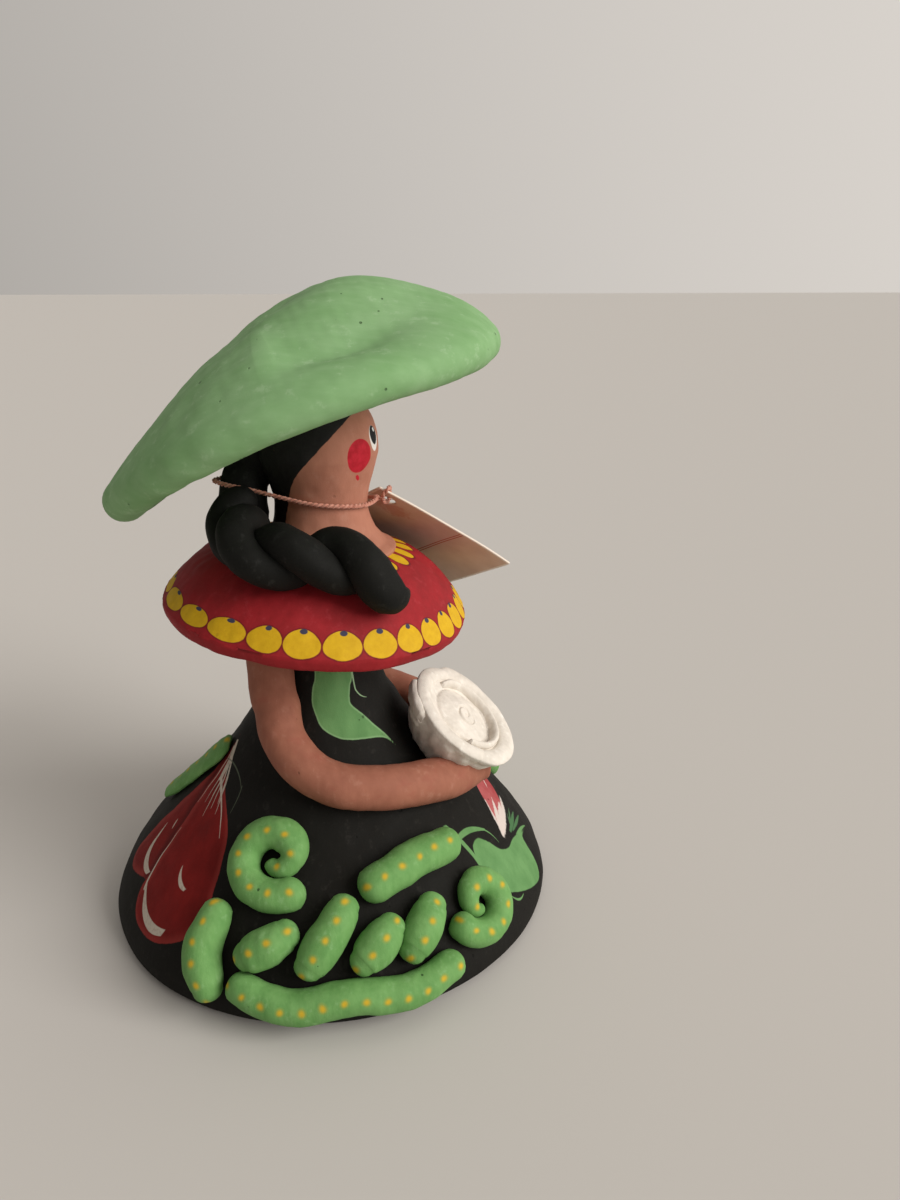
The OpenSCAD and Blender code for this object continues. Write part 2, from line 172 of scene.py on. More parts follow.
@dataclass
class Surface:
    """A grid of points that becomes one closed mesh.

    Rows run along the piece and columns round it. Unless the rows wrap too, each end is
    closed by a point at the mean of its last row.
    """

    points: Array
    wrap_rows: bool = False
    fields: dict[str, Array] = field(default_factory=dict)

    def rough(self, amount: float, wave: float, seed: int, where: Optional[Array] = None) -> "Surface":
        """Moves each point along its normal by amount times lumps of that wave.

        Args:
            amount: greatest move, in mm.
            wave: distance between bumps, in mm.
            seed: choice of the bumps.
            where: share of the move for each point, or None for all of it.
        Returns:
            The same surface.
        """
        n = grid_normals(self.points, self.wrap_rows, True)
        push = lumps(self.points, wave, seed)[..., None] * amount
        if where is not None:
            push = push * where[..., None]
        self.points = self.points + n * push
        return self

    def faces(self) -> tuple[list, Array, dict[str, Array]]:
        """Works out the faces.

        Returns:
            The faces, the points as one list, and the fields as one list each.
        """
        m, k = self.points.shape[:2]
        index = np.arange(m * k).reshape(m, k)
        down = np.roll(index, -1, 0) if self.wrap_rows else index[1:]
        up = index if self.wrap_rows else index[:-1]
        quads = np.stack([up, np.roll(up, -1, 1), np.roll(down, -1, 1), down], -1).reshape(-1, 4)
        points = self.points.reshape(-1, 3)
        fields = {n: f.reshape(m * k, -1) for n, f in self.fields.items()}
        faces = quads.tolist()
        if not self.wrap_rows:
            ends = (index[0], index[-1])
            points = np.vstack([points] + [self.points[r].mean(0)[None] for r in (0, -1)])
            fields = {n: np.vstack([f] + [f[e].mean(0)[None] for e in ends]) for n, f in fields.items()}
            first, last = ends
            fan_a = np.stack([np.full(k, m * k), np.roll(first, -1), first], -1)
            fan_b = np.stack([np.full(k, m * k + 1), last, np.roll(last, -1)], -1)
            faces += fan_a.tolist() + fan_b.tolist()
        return faces, points, fields

    def build(self, name: str, slot: str, body: str = "figure", nodes: Sequence[str] = ()) -> bpy.types.Object:
        """Makes the mesh, with its faces pointing outwards, and lets it ride.

        Args:
            name: the piece's name.
            slot: the record's material slot; not used.
            body: the CAD body that it rides on.
            nodes: the CAD nodes that it stands for.
        Returns:
            The new object.
        """
        faces, points, fields = self.faces()
        tri = np.array([f[:3] for f in faces] + [[f[0], f[2], f[3]] for f in faces if len(f) == 4])
        a, b, c = (points[tri[:, j]] for j in range(3))
        if (np.cross(a, b) * c).sum() < 0:
            faces = [f[::-1] for f in faces]
        mesh = bpy.data.meshes.new(name)
        mesh.from_pydata((points * MM).tolist(), [], faces)
        mesh.polygons.foreach_set("use_smooth", np.ones(len(mesh.polygons), bool))
        for key, values in fields.items():
            kind = "FLOAT" if values.shape[1] == 1 else "FLOAT_VECTOR"
            layer = mesh.attributes.new(key, kind, "POINT")
            layer.data.foreach_set("value" if kind == "FLOAT" else "vector", values.astype(np.float32).ravel())
        mesh.update()
        obj = bpy.data.objects.new(name, mesh)
        bpy.context.scene.collection.objects.link(obj)
        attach(obj, body)
        if nodes:
            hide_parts(*nodes)
        LOG.info("%s: %d points, %d faces", name, len(points), len(faces))
        return obj


def sweep(
    curve: Array,
    up: Array,
    width: Array,
    under: Array,
    sides: int = 32,
    high: float = 1.0,
    ends: tuple[float, float] = (1.0, 1.0),
) -> Surface:
    """A roll of clay along a curve: each ring is an ellipse that is cut flat below, with round ends.

    A ring's point at angle a is the curve's point plus side * w cos(a) plus
    top * max(w high sin(a), -under); the ends shrink as a quarter circle.

    Args:
        curve: the middle line, one row each.
        up: the direction away from what the roll lies on, for each point.
        width: half the roll's width at each point.
        under: depth of the flat underside below the curve, at each point.
        sides: points round a ring.
        high: height as a share of the width.
        ends: how far each round end reaches, as a share of the half width there.
    Returns:
        The surface, with a "roll_uv" field: distance along the curve, then across it and above it, in mm.
    """
    d = tangents(curve)
    length = np.concatenate([[0], np.cumsum(np.linalg.norm(np.diff(curve, axis=0), axis=1))])
    cap = np.radians([84, 72, 58, 42, 24])

    def cap_rows(at: int, sign: int) -> tuple:
        """Rows of the round end at the curve's point at, going back for sign -1 and on for 1."""
        w = width[at]
        reach = np.sin(cap) * w * ends[0 if sign < 0 else 1]
        return (
            curve[at] + sign * d[at] * reach[:, None],
            np.repeat(d[at][None], len(cap), 0),
            np.repeat(up[at][None], len(cap), 0),
            w * np.cos(cap),
            under[at] * (0.35 + 0.65 * np.cos(cap)),
            length[at] + sign * reach,
        )

    head, tail = cap_rows(0, -1), cap_rows(-1, 1)
    middle = (curve, d, up, width, under, length)
    c, d, u, w, low, run = (np.concatenate([h, m, t[::-1]]) for h, m, t in zip(head, middle, tail))
    side = unit(np.cross(d, u))
    top = np.cross(side, d)
    a = np.linspace(0, 2 * np.pi, sides, endpoint=False)
    floor = -low[:, None]
    rise = w[:, None] * high * np.sin(a)
    # The underside meets the floor in a soft corner: a smooth maximum of the two heights
    soft = 0.12 * w[:, None]
    rise = 0.5 * (rise + floor + np.sqrt((rise - floor) ** 2 + soft**2))
    p = c[:, None] + side[:, None] * (w[:, None] * np.cos(a))[..., None] + top[:, None] * rise[..., None]
    across = w[:, None] * np.cos(a)
    above = w[:, None] * np.sin(a)
    return Surface(p, fields={"roll_uv": np.stack([np.repeat(run[:, None], sides, 1), across, above], -1)})


# ---------------------------------------------------------------------------
# Materials


class Wire:
    """A value, vector or colour inside a material; the operators add Math nodes."""

    def __init__(self, shader: "Shader", socket: bpy.types.NodeSocket) -> None:
        """Wraps one output socket."""
        self.shader = shader
        self.socket = socket

    def __add__(self, other: Value) -> "Wire":
        """Sum."""
        return self.shader.math("ADD", self, other)

    __radd__ = __add__

    def __sub__(self, other: Value) -> "Wire":
        """Difference."""
        return self.shader.math("SUBTRACT", self, other)

    def __rsub__(self, other: Value) -> "Wire":
        """Difference with the wire on the right."""
        return self.shader.math("SUBTRACT", other, self)

    def __mul__(self, other: Value) -> "Wire":
        """Product."""
        return self.shader.math("MULTIPLY", self, other)

    __rmul__ = __mul__

    def __truediv__(self, other: Value) -> "Wire":
        """Quotient."""
        return self.shader.math("DIVIDE", self, other)

    def __pow__(self, other: Value) -> "Wire":
        """Power."""
        return self.shader.math("POWER", self, other)

    def __neg__(self) -> "Wire":
        """Minus the value."""
        return self * -1.0

    def __abs__(self) -> "Wire":
        """Size without sign."""
        return self.shader.math("ABSOLUTE", self)


class Shader:
    """A material's node tree, with one method that makes every node."""

    def __init__(self, name: str, tree: Optional[bpy.types.NodeTree] = None) -> None:
        """Starts an empty material, or empties the tree that it is given.

        Args:
            name: the material's name.
            tree: the nodes of something else, such as the world.
        """
        self.material = None
        if tree is None:
            self.material = bpy.data.materials.new(name)
            self.material.use_nodes = True
            tree = self.material.node_tree
        self.tree = tree
        self.tree.nodes.clear()
        if self.material is not None:
            inputs = {0: self.node("TexCoord", out="Object"), "Scale": 1 / MM}
            self.place = self.node("VectorMath", {"operation": "SCALE"}, inputs)

    def node(
        self, kind: str, settings: Optional[dict] = None, inputs: Optional[dict] = None, out: Union[int, str] = 0
    ) -> Wire:
        """Adds one node.

        Args:
            kind: the node's type, without its ShaderNode prefix.
            settings: its properties, set before its sockets; "stops" are a ramp's positions and colours.
            inputs: a value or wire for each socket, by name or place.
            out: the output wanted.
        Returns:
            The wire of that output.
        """
        made = self.tree.nodes.new("ShaderNode" + kind)
        for key, value in (settings or {}).items():
            if key == "stops":
                ramp = made.color_ramp
                while len(ramp.elements) < len(value):
                    ramp.elements.new(0.5)
                for element, (at, colour) in zip(ramp.elements, value):
                    element.position = at
                    element.color = (*colour, 1)
            else:
                setattr(made, key, value)
        for key, value in (inputs or {}).items():
            socket = made.inputs[key]
            if isinstance(value, Wire):
                self.tree.links.new(value.socket, socket)
            elif isinstance(value, tuple) and len(value) == 3 and socket.type == "RGBA":
                socket.default_value = (*value, 1)
            else:
                socket.default_value = value
        return Wire(self, made.outputs[out])

    def math(self, operation: str, *values: Value, clamp: bool = False) -> Wire:
        """One Math node on up to three values."""
        return self.node("Math", {"operation": operation, "use_clamp": clamp}, dict(enumerate(values)))

    def least(self, *values: Value) -> Wire:
        """The smallest of the values."""
        made = values[0]
        for value in values[1:]:
            made = self.math("MINIMUM", made, value)
        return made

    def most(self, *values: Value) -> Wire:
        """The greatest of the values."""
        made = values[0]
        for value in values[1:]:
            made = self.math("MAXIMUM", made, value)
        return made

    def edge(self, value: Wire, soft: float = 0.12) -> Wire:
        """1 where the value is above 0 and 0 where it is below, over a width of twice soft."""
        settings = {"interpolation_type": "SMOOTHSTEP"}
        return self.node("MapRange", settings, {"Value": value, "From Min": -soft, "From Max": soft})

    def ramp(self, value: Wire, low: float, high: float, first: float = 0.0, last: float = 1.0) -> Wire:
        """Straight change from first to last as the value goes from low to high, and level outside."""
        inputs = {"Value": value, "From Min": low, "From Max": high, "To Min": first, "To Max": last}
        return self.node("MapRange", None, inputs)

    def paint(self, under: Union[Colour, Wire], over: Union[Colour, Wire], mask: Value) -> Wire:
        """The colour under, covered by the colour over where the mask is 1."""
        return self.node("Mix", {"data_type": "RGBA"}, {0: mask, 6: under, 7: over}, 2)

    def split(self, vector: Wire) -> tuple[Wire, Wire, Wire]:
        """The three parts of a vector."""
        node = self.node("SeparateXYZ", None, {0: vector}).socket.node
        return tuple(Wire(self, o) for o in node.outputs)

    def attribute(self, name: str, vector: bool = False) -> Wire:
        """A field that the mesh carries."""
        return self.node("Attribute", {"attribute_name": name}, None, "Vector" if vector else "Fac")

    def noise(self, size: float, detail: float = 3.0, at: Optional[Wire] = None, roughness: float = 0.55) -> Wire:
        """Noise with features of that size in mm, about 0 to 1."""
        inputs = {"Vector": at or self.place, "Scale": 1 / size, "Detail": detail, "Roughness": roughness}
        return self.node("TexNoise", None, inputs, 0)

    def cells(self, size: float) -> tuple[Wire, Wire]:
        """Cells of that size in mm: how far each place is from its cell's point, and a chance for each cell."""
        inputs = {"Vector": self.place, "Scale": 1 / size}
        away = self.node("TexVoronoi", None, inputs, "Distance")
        chance, _, _ = self.split(self.node("TexVoronoi", None, inputs, "Color"))
        return away, chance

    def stretched(self, x: float, y: float, z: float) -> Wire:
        """Place, scaled along each axis."""
        return self.node("VectorMath", {"operation": "MULTIPLY"}, {0: self.place, 1: (x, y, z)})

    def brush(self, x: Wire, y: Wire, start: tuple, end: tuple, wide: tuple, bow: float = 0.0) -> Wire:
        """A brush stroke on a flat chart: positive inside it.

        With t from 0 to 1 along the line from start to end, the stroke's middle leaves that line by
        bow * 4t(1 - t), and its half width goes from wide[0] through wide[1] to wide[2].

        Args:
            x: first chart coordinate, in mm.
            y: second chart coordinate, in mm.
            start: first end.
            end: last end.
            wide: half widths at the start, middle and end, in mm.
            bow: how far the middle stands to the left of the line, in mm.
        Returns:
            Half width less distance from the middle, in mm.
        """
        dx, dy = end[0] - start[0], end[1] - start[1]
        length = float(np.hypot(dx, dy))
        dx, dy = dx / length, dy / length
        px, py = x - start[0], y - start[1]
        t = (px * dx + py * dy) / length
        hump = t * (1 - t) * 4
        off = abs(py * dx - px * dy - hump * bow)
        width = t * (wide[2] - wide[0]) + wide[0] + hump * (wide[1] - 0.5 * (wide[0] + wide[2]))
        ends = self.least(t, 1 - t) * (length * 0.6) + 0.02
        return self.least(width - off, ends)

    def spot(self, x: Value, y: Value, rx: float, ry: float) -> Wire:
        """An oval round 0, 0: positive inside it, in mm near its edge."""
        return (1 - ((x / rx) ** 2 + (y / ry) ** 2) ** 0.5) * min(rx, ry)

    def finish(
        self,
        base: Union[Colour, Wire],
        roughness: Value,
        height: Optional[Wire] = None,
        strength: float = 1.0,
        specular: float = 0.3,
        sheen: float = 0.0,
    ) -> bpy.types.Material:
        """Closes the material.

        Args:
            base: its colour.
            roughness: its roughness.
            height: surface relief in mm, or None.
            strength: share of the relief that shows.
            specular: how much it shines when looked at straight on.
            sheen: soft shine of fibres.
        Returns:
            The material.
        """
        inputs = {"Base Color": base, "Roughness": roughness, "Specular IOR Level": specular}
        if sheen:
            inputs["Sheen Weight"] = sheen
        if height is not None:
            inputs["Normal"] = self.node("Bump", None, {"Strength": strength, "Distance": MM, "Height": height})
        shader = self.node("BsdfPrincipled", None, inputs)
        self.close(shader)
        return self.material

    def close(self, shader: Wire, kind: str = "OutputMaterial") -> None:
        """Links a shader to the tree's output."""
        out = self.tree.nodes.new("ShaderNode" + kind)
        self.tree.links.new(shader.socket, out.inputs["Surface"])


Pattern = Callable[[Shader, Wire], Wire]


@dataclass(frozen=True)
class ClayPaint:
    """Matt paint on hand-smoothed clay: uneven cover, brush marks, pits painted darker as painted shade, and rubbed
    places.
    """

    name: str
    base: Colour
    dark: Colour
    pale: Colour
    patch: float = 9.0
    marks: tuple = (1.0, 1.0, 0.25)
    marks_size: float = 1.6
    relief: float = 0.05
    pits: float = 0.5
    pit_cell: float = 3.6
    pit_chance: float = 0.72
    worn: float = 0.3
    rub_size: float = 3.4
    rub_least: float = 0.595
    roughness: float = 0.72
    specular: float = 0.25

    def make(self, pattern: Optional[Pattern] = None) -> bpy.types.Material:
        """Builds the material.

        Args:
            pattern: what is painted over the base colour, as a function of shader and colour.
        Returns:
            The material.
        """
        s = Shader(self.name)
        cloud = s.noise(self.patch, 3)
        streak = s.noise(self.marks_size, 4, s.stretched(*self.marks))
        grain = s.noise(0.35, 3)
        cover = s.ramp(cloud * 0.6 + streak * 0.4, 0.34, 0.66)
        colour = s.paint(self.dark, self.base, cover)
        rub = s.edge(s.noise(self.rub_size, 5, roughness=0.72) * 0.7 + streak * 0.3 - self.rub_least, 0.05)
        colour = s.paint(colour, self.pale, rub * self.worn)
        away, chance = s.cells(self.pit_cell)
        hole = s.edge((chance - self.pit_chance) * 0.3 - away + s.noise(0.8, 2) * 0.12 - 0.02, 0.03) * self.pits
        if pattern is not None:
            colour = pattern(s, colour)
        # Painted shade: each pit is painted a darker copy of the paint, as the shade inside the hole
        colour = s.paint(colour, tuple(0.35 * c for c in self.dark), hole)
        height = grain * self.relief + streak * (self.relief * 1.6) - hole * 0.25 + cloud * 0.1
        gloss = s.ramp(grain * 0.5 + cloud * 0.5, 0.3, 0.7, self.roughness - 0.07, self.roughness + 0.1)
        return s.finish(colour, gloss, height, 0.9, self.specular)


BLACK_DRESS = ClayPaint(
    "black_dress", (0.0095, 0.0086, 0.0068), (0.0066, 0.006, 0.0048), (0.042, 0.038, 0.033),
    worn=0.25, specular=0.16,
)
BLACK_HAIR = ClayPaint(
    "black_hair", (0.0086, 0.0086, 0.0074), (0.0058, 0.0058, 0.005), (0.045, 0.045, 0.043),
    worn=0.22, relief=0.04, pits=0.2, specular=0.15,
)
RED_COLLAR = ClayPaint(
    "red_collar", (0.34, 0.014, 0.020), (0.245, 0.010, 0.0135), (0.42, 0.05, 0.06),
    worn=0.25, pits=0.15, relief=0.035, marks=(1.0, 1.0, 0.5),
)
# Skin of the neck and head: the clay painted lighter, as painted light on the lit neck
LIT_BROWN_SKIN = ClayPaint(
    "brown_skin", (0.45, 0.195, 0.13), (0.38, 0.155, 0.10), (0.48, 0.25, 0.18),
    worn=0.25, pits=0.25, patch=7.0, relief=0.035,
)
# Skin of the arms: the same clay painted darker, as painted shade on the shaded arms
SHADED_ARM_SKIN = ClayPaint(
    "arm_skin", (0.345, 0.135, 0.085), (0.275, 0.10, 0.062), (0.45, 0.23, 0.165),
    worn=0.25, pits=0.4, patch=7.0, relief=0.035,
)
GREEN_HAT = ClayPaint(
    "green_hat", (0.25, 0.43, 0.205), (0.175, 0.345, 0.135), (0.36, 0.53, 0.31),
    patch=16.0, marks=(0.9, 0.22, 0.8), marks_size=2.2, relief=0.02, pits=0.8, worn=0.4,
)
GREEN_ROLL = ClayPaint(
    "green_roll", (0.175, 0.365, 0.115), (0.115, 0.28, 0.075), (0.28, 0.48, 0.22),
    patch=5.0, marks_size=1.2, pits=0.9,
)
WHITE_ROSE = ClayPaint(
    "white_rose", (0.80, 0.745, 0.67), (0.64, 0.59, 0.52), (0.86, 0.83, 0.77),
    patch=4.0, marks_size=1.4, relief=0.06, pits=0.45, worn=0.6, roughness=0.8,
)


def coat(pieces: list[bpy.types.Object], material: bpy.types.Material) -> list[bpy.types.Object]:
    """Gives the same material to every piece, and returns the pieces."""
    for piece in pieces:
        piece.data.materials.append(material)
    return pieces


# ---------------------------------------------------------------------------
# Dress


@dataclass
class Motif:
    """A painted shape on the dress: its outline is a closed curve through (azimuth, height) points."""

    name: str
    outline: Sequence[tuple[float, float]]
    folded: bool = True


MOTIFS = (
    Motif("petal_small", (
        (108.4, 48), (108.2, 44), (107.2, 38), (105.4, 32), (104, 27), (102.9, 22), (102.1, 17), (103.2, 14),
        (107, 13.2), (112, 14.2), (118, 16), (124, 18), (127, 24), (118, 38), (109.6, 44),
    )),
    Motif("petal_big", (
        (108.6, 48.5), (109.4, 44), (112, 38), (117, 28), (119.4, 22.5), (121, 18.5), (120.4, 15.4), (121.5, 12.2),
        (125, 9.6), (130.6, 8.9), (136.1, 9.5), (141.4, 11.2), (146.8, 14), (150.2, 18), (149.2, 22.5),
        (147, 27.5), (143.6, 32), (136, 35.6), (124, 39), (113, 42.5), (109.4, 46),
    )),
    Motif("bract", (
        (176.7, 80), (176.7, 68), (174.2, 64.5), (174.2, 61), (177.4, 58.6), (182, 56), (188, 54.4), (196, 53),
        (204, 52.3), (212, 51.9), (219, 51.5), (226, 50.9), (231, 49.8), (234.6, 48), (234.6, 48), (231.4, 50.7),
        (225, 53.8), (217, 57.2), (211, 59.2), (209.3, 60.8), (212.5, 64), (217.6, 67.5), (217.6, 80),
    )),
    Motif("leaf", (
        (239.2, 24.3), (243, 24.4), (246, 22.4), (248.5, 19.6), (252.4, 18), (257.5, 17.7), (262.5, 16.5),
        (268.4, 14.2), (268.4, 14.2), (263.6, 15), (262, 13.2), (261.4, 10.4), (260, 7.4), (257.4, 5.8),
        (252.3, 7.2), (245.7, 10.1), (241.2, 12.6), (238.3, 15.6), (236.9, 18.6), (236.6, 21), (237.3, 23),
    ), False),
    Motif("tulip", (
        (254.4, 20.2), (254.4, 20.2), (257, 22.2), (260, 24.8), (264, 27.6), (270, 30.4), (278, 32.4), (286, 33),
        (294, 32), (298, 30), (294, 29.4), (290, 27.6), (282, 25.6), (272, 22.8), (264, 21.2), (258, 20.2),
    ), False),
)


@dataclass
class Dress:
    """Hollow bell, open underneath, with flowers painted on black."""

    foot_r: float = 59.0
    height: float = 88.0
    wall: float = 5.0
    hem: float = 1.5
    hollow: float = 0.7
    around: int = 336
    side_middle: float = 125.0
    front_middle: float = 255.0
    top_middle: float = 200.0
    bell: tuple = (
        (0, 0.98), (0.017, 1), (0.057, 0.993), (0.1, 0.966), (0.15, 0.92), (0.2, 0.865), (0.25, 0.8), (0.34, 0.66),
        (0.41, 0.556), (0.48, 0.461), (0.56, 0.376), (0.63, 0.314), (0.68, 0.268), (0.75, 0.234), (0.82, 0.22),
        (1, 0.203),
    )

    def __post_init__(self) -> None:
        """Works out the smooth outline that everything on the dress is placed by."""
        self._outline = spline(self.bell, 12)

    def radius(self, z: Any) -> Array:
        """Radius of the bell at height z."""
        return self.foot_r * np.interp(np.asarray(z, float) / self.height, self._outline[:, 0], self._outline[:, 1])

    def slope(self, z: Any) -> Array:
        """How fast the radius grows with height."""
        return (self.radius(z + 1.5) - self.radius(z - 1.5)) / 3

    def out(self, azimuth: Any, z: Any) -> Array:
        """Unit normal of the bell at each azimuth, in degrees, and height."""
        a = np.radians(azimuth)
        return unit(np.stack([np.cos(a), np.sin(a), -self.slope(z) + 0 * a], -1))

    def on(self, azimuth: Any, z: Any, off: Any) -> Array:
        """Points that stand off the bell by that much, at each azimuth and height."""
        a = np.radians(azimuth)
        r = self.radius(z)
        foot = np.stack([r * np.cos(a), r * np.sin(a), z + 0 * a], -1)
        return foot + self.out(azimuth, z) * np.asarray(off)[..., None]

    def chart(self, azimuth: Array, z: Array, middle: float, folded: bool) -> Array:
        """Flat chart round a meridian: x is the angle from it times the radius, y is the height.

        A folded chart shows the same paint on both sides of the figure. Past 100 degrees from the
        meridian y is moved far away, so that nothing is painted on the seam.

        Args:
            azimuth: azimuths, in degrees.
            z: heights.
            middle: the chart's meridian.
            folded: whether the left side repeats the right.
        Returns:
            Chart coordinates with a third part of 0.
        """
        turn = (azimuth - 90 + 180) % 360 - 180
        angle = 90 + np.abs(turn) if folded else azimuth
        delta = (angle - middle + 180) % 360 - 180
        x = np.radians(delta) * self.radius(z)
        far = 900.0
        y = z + np.where(np.abs(delta) > 100, far, 0.0)
        return np.stack([x, y, 0 * x], -1)

    def placer(self, middle: float) -> Callable[[float, float], tuple[float, float]]:
        """The function that turns azimuth and height into a place on the chart round that meridian."""

        def at(azimuth: float, z: float) -> tuple[float, float]:
            """Place on the chart of that azimuth and height."""
            return float(np.radians(azimuth - middle) * self.radius(z)), z

        return at

    def surface(self) -> Surface:
        """The bell as one closed surface: down the outside, round the foot, up the inside.

        A ring is r(z) times the unit circle; the foot is a half circle; the inner wall is the outer
        one moved along its normal by the wall's thickness.
        """
        z = np.concatenate([np.linspace(self.height, 56, 60), np.linspace(55.6, 2.2, 150)])
        outer = np.stack([self.radius(z), z], -1)
        turn = np.linspace(0.2, np.pi - 0.2, 10)
        middle = self.radius(0.0) - self.wall / 2
        foot = np.stack([middle + self.wall / 2 * np.cos(turn), self.hem - self.hem * np.sin(turn)], -1)
        zi = np.linspace(2.5, self.hollow * self.height, 40)
        tilt = np.sqrt(1 + self.slope(zi) ** 2)
        inner = np.stack([self.radius(zi) - self.wall * tilt, zi], -1)
        top = np.stack([np.linspace(inner[-1, 0], 0.6, 6)[1:], np.full(5, self.hollow * self.height)], -1)
        rings = np.vstack([[[self.radius(self.height) * 0.3, self.height]], outer, foot, inner, top])
        outside = np.concatenate([np.ones(1 + len(z)), np.zeros(len(rings) - 1 - len(z))])
        azimuth = np.arange(self.around) * 360 / self.around
        points = revolved(rings, np.radians(azimuth))
        az = np.broadcast_to(azimuth, points.shape[:2])
        height = points[..., 2]
        fields = {
            "chart_side": self.chart(az, height, self.side_middle, True),
            "chart_front": self.chart(az, height, self.front_middle, False),
            "chart_top": self.chart(az, height, self.top_middle, True),
        }
        most = 8.0
        for motif in MOTIFS:
            x, y, _ = np.moveaxis(self.chart(az, height, self.top_middle, motif.folded), -1, 0)
            line = np.asarray(motif.outline, float)
            flat = self.chart(line[:, 0], line[:, 1], self.top_middle, motif.folded)[:, :2]
            made = inside_of(spline(flat, 8, closed=True), x, y)
            fields[motif.name] = np.where(outside[:, None] > 0, np.clip(made, -most, most), -most)
        made = Surface(points, fields=fields)
        share = ease(height, 0.2, 5) * outside[:, None]
        return made.rough(0.3, 26, 3, share).rough(0.1, 7, 4, share)

    def flowers(self, s: Shader, colour: Wire) -> Wire:
        """Paints the flowers and leaves over the black.

        Args:
            s: the shader.
            colour: the black underneath.
        Returns:
            The colour with the flowers.
        """
        x, y, _ = s.split(s.attribute("chart_side", vector=True))
        stray = s.noise(1.1, 3) * 0.3 - 0.15
        thick = s.noise(2.2, 4, s.stretched(0.5, 0.5, 0.16))
        at = self.placer(self.side_middle)
        red = s.paint((0.155, 0.0075, 0.0065), (0.215, 0.0115, 0.01), s.ramp(thick, 0.3, 0.7))
        rosy = (0.36, 0.05, 0.042)
        cream = (0.56, 0.5, 0.42)
        small = s.attribute("petal_small") + stray
        big = s.attribute("petal_big") + stray
        colour = s.paint(colour, red, s.edge(small))
        colour = s.paint(colour, rosy, s.edge(small) * s.edge(0.85 - small, 0.7) * 0.5)
        colour = s.paint(colour, (0.07, 0.003, 0.003), s.edge(big + 1.3, 1.1) * s.edge(small) * 0.8)
        colour = s.paint(colour, red, s.edge(big))
        colour = s.paint(colour, rosy, s.edge(big) * s.edge(0.9 - big, 0.8) * 0.45)
        # Each stroke is its two ends, its half widths and its bow
        strokes = (
            (at(108.6, 25), at(119.5, 17.6), (0.12, 0.95, 0.75), -3.3),
            (at(118.2, 27.5), at(122.4, 15), (0.05, 0.2, 0.4), -0.5),
            (at(122.2, 16.2), at(138.2, 12.2), (0.3, 1.05, 0.85), -2.5),
            (at(132.4, 23.8), at(138.8, 21), (0.08, 0.42, 0.3), -0.75),
            (at(112.4, 27.4), at(113.9, 25.8), (0.05, 0.2, 0.1), 0.0),
            (at(109.6, 46.5), at(118, 38.4), (0.5, 0.75, 0.5), 0.3),
            (at(117, 39), at(140.5, 31), (0.45, 0.18, 0.05), 0.9),
            (at(110, 45), at(128.5, 35.4), (0.3, 0.26, 0.05), 0.5),
            (at(109.6, 45), at(115.3, 32.6), (0.25, 0.16, 0.04), 0.1),
            (at(110, 45), at(119.9, 33.8), (0.25, 0.18, 0.04), 0.2),
            (at(110, 45), at(124.8, 32), (0.3, 0.2, 0.04), 0.3),
            (at(110, 45), at(126.3, 34), (0.3, 0.2, 0.04), 0.4),
            (at(110, 45), at(131, 33.8), (0.3, 0.22, 0.04), 0.6),
            (at(110, 45), at(121.8, 35.6), (0.3, 0.26, 0.05), 0.3),
        )
        inside = s.most(*[s.brush(x, y, *stroke) for stroke in strokes])
        cover = s.ramp(s.noise(0.7, 2), 0.3, 0.5, 0.72, 1.0)
        colour = s.paint(colour, cream, s.edge(inside + stray * 0.25, 0.09) * cover)
        thread = s.most(
            s.brush(x, y, at(110.5, 42), at(137.5, 40), (0.14, 0.16, 0.05), 1.6),
            s.brush(x, y, at(137, 40.6), at(139, 35.5), (0.1, 0.1, 0.04), 0.3),
        )
        colour = s.paint(colour, (0.12, 0.15, 0.1), s.edge(thread, 0.07) * 0.7)
        return self.leaves(s, colour, stray, thick)

    def leaves(self, s: Shader, colour: Wire, stray: Wire, thick: Wire) -> Wire:
        """Paints the front leaf and tulip, and the green bract under the collar.

        Args:
            s: the shader.
            colour: what is painted so far.
            stray: unevenness of a painted edge, in mm.
            thick: how thickly the paint covers.
        Returns:
            The colour with them.
        """
        x, y, _ = s.split(s.attribute("chart_front", vector=True))
        at = self.placer(self.front_middle)
        green = s.paint((0.105, 0.24, 0.082), (0.14, 0.295, 0.108), s.ramp(thick, 0.35, 0.65))
        leaf = s.attribute("leaf") + stray * 0.6
        colour = s.paint(colour, green, s.edge(leaf))
        stems = s.most(
            s.brush(x, y, at(233.6, 30), at(236.6, 20.4), (0.5, 0.6, 0.35), 0.5),
            s.brush(x, y, at(235.2, 26.8), at(249, 24.2), (0.45, 0.6, 0.25), 1.0),
            s.brush(x, y, at(248, 24.8), at(250.2, 20.6), (0.22, 0.16, 0.05), 0.5),
            s.brush(x, y, at(261, 16.6), at(271.6, 13.4), (0.5, 0.4, 0.08), 0.5),
            s.brush(x, y, at(241.2, 11.6), at(246.4, 9), (0.1, 0.28, 0.1), -1.1),
        )
        colour = s.paint(colour, green, s.edge(stems + stray * 0.3, 0.1))
        tulip = s.attribute("tulip") + stray * 0.6
        deep = s.ramp(x * 0.6 + s.noise(2.0, 3) * 10, 4, 16)
        bloom = s.paint((0.48, 0.14, 0.14), (0.33, 0.045, 0.048), deep)
        colour = s.paint(colour, bloom, s.edge(tulip))
        flames = s.most(
            s.brush(x, y, at(254.2, 20.0), at(262.4, 26.4), (0.3, 0.32, 0.04), 0.05),
            s.brush(x, y, at(254.4, 20.2), at(262.6, 23.8), (0.4, 0.75, 0.05), 0.2),
            s.brush(x, y, at(254.4, 20.2), at(266.8, 24.9), (0.4, 0.6, 0.05), 0.3),
            s.brush(x, y, at(254.4, 20.2), at(268.8, 22.8), (0.4, 0.95, 0.05), 0.4),
            s.brush(x, y, at(256, 20.2), at(273.6, 22.3), (0.3, 0.6, 0.05), 0.2),
            s.brush(x, y, at(284, 32.4), at(299, 28.4), (0.15, 0.6, 0.4), 0.9),
            s.brush(x, y, at(272, 26), at(294, 28), (0.08, 0.16, 0.2), 0.3),
        )
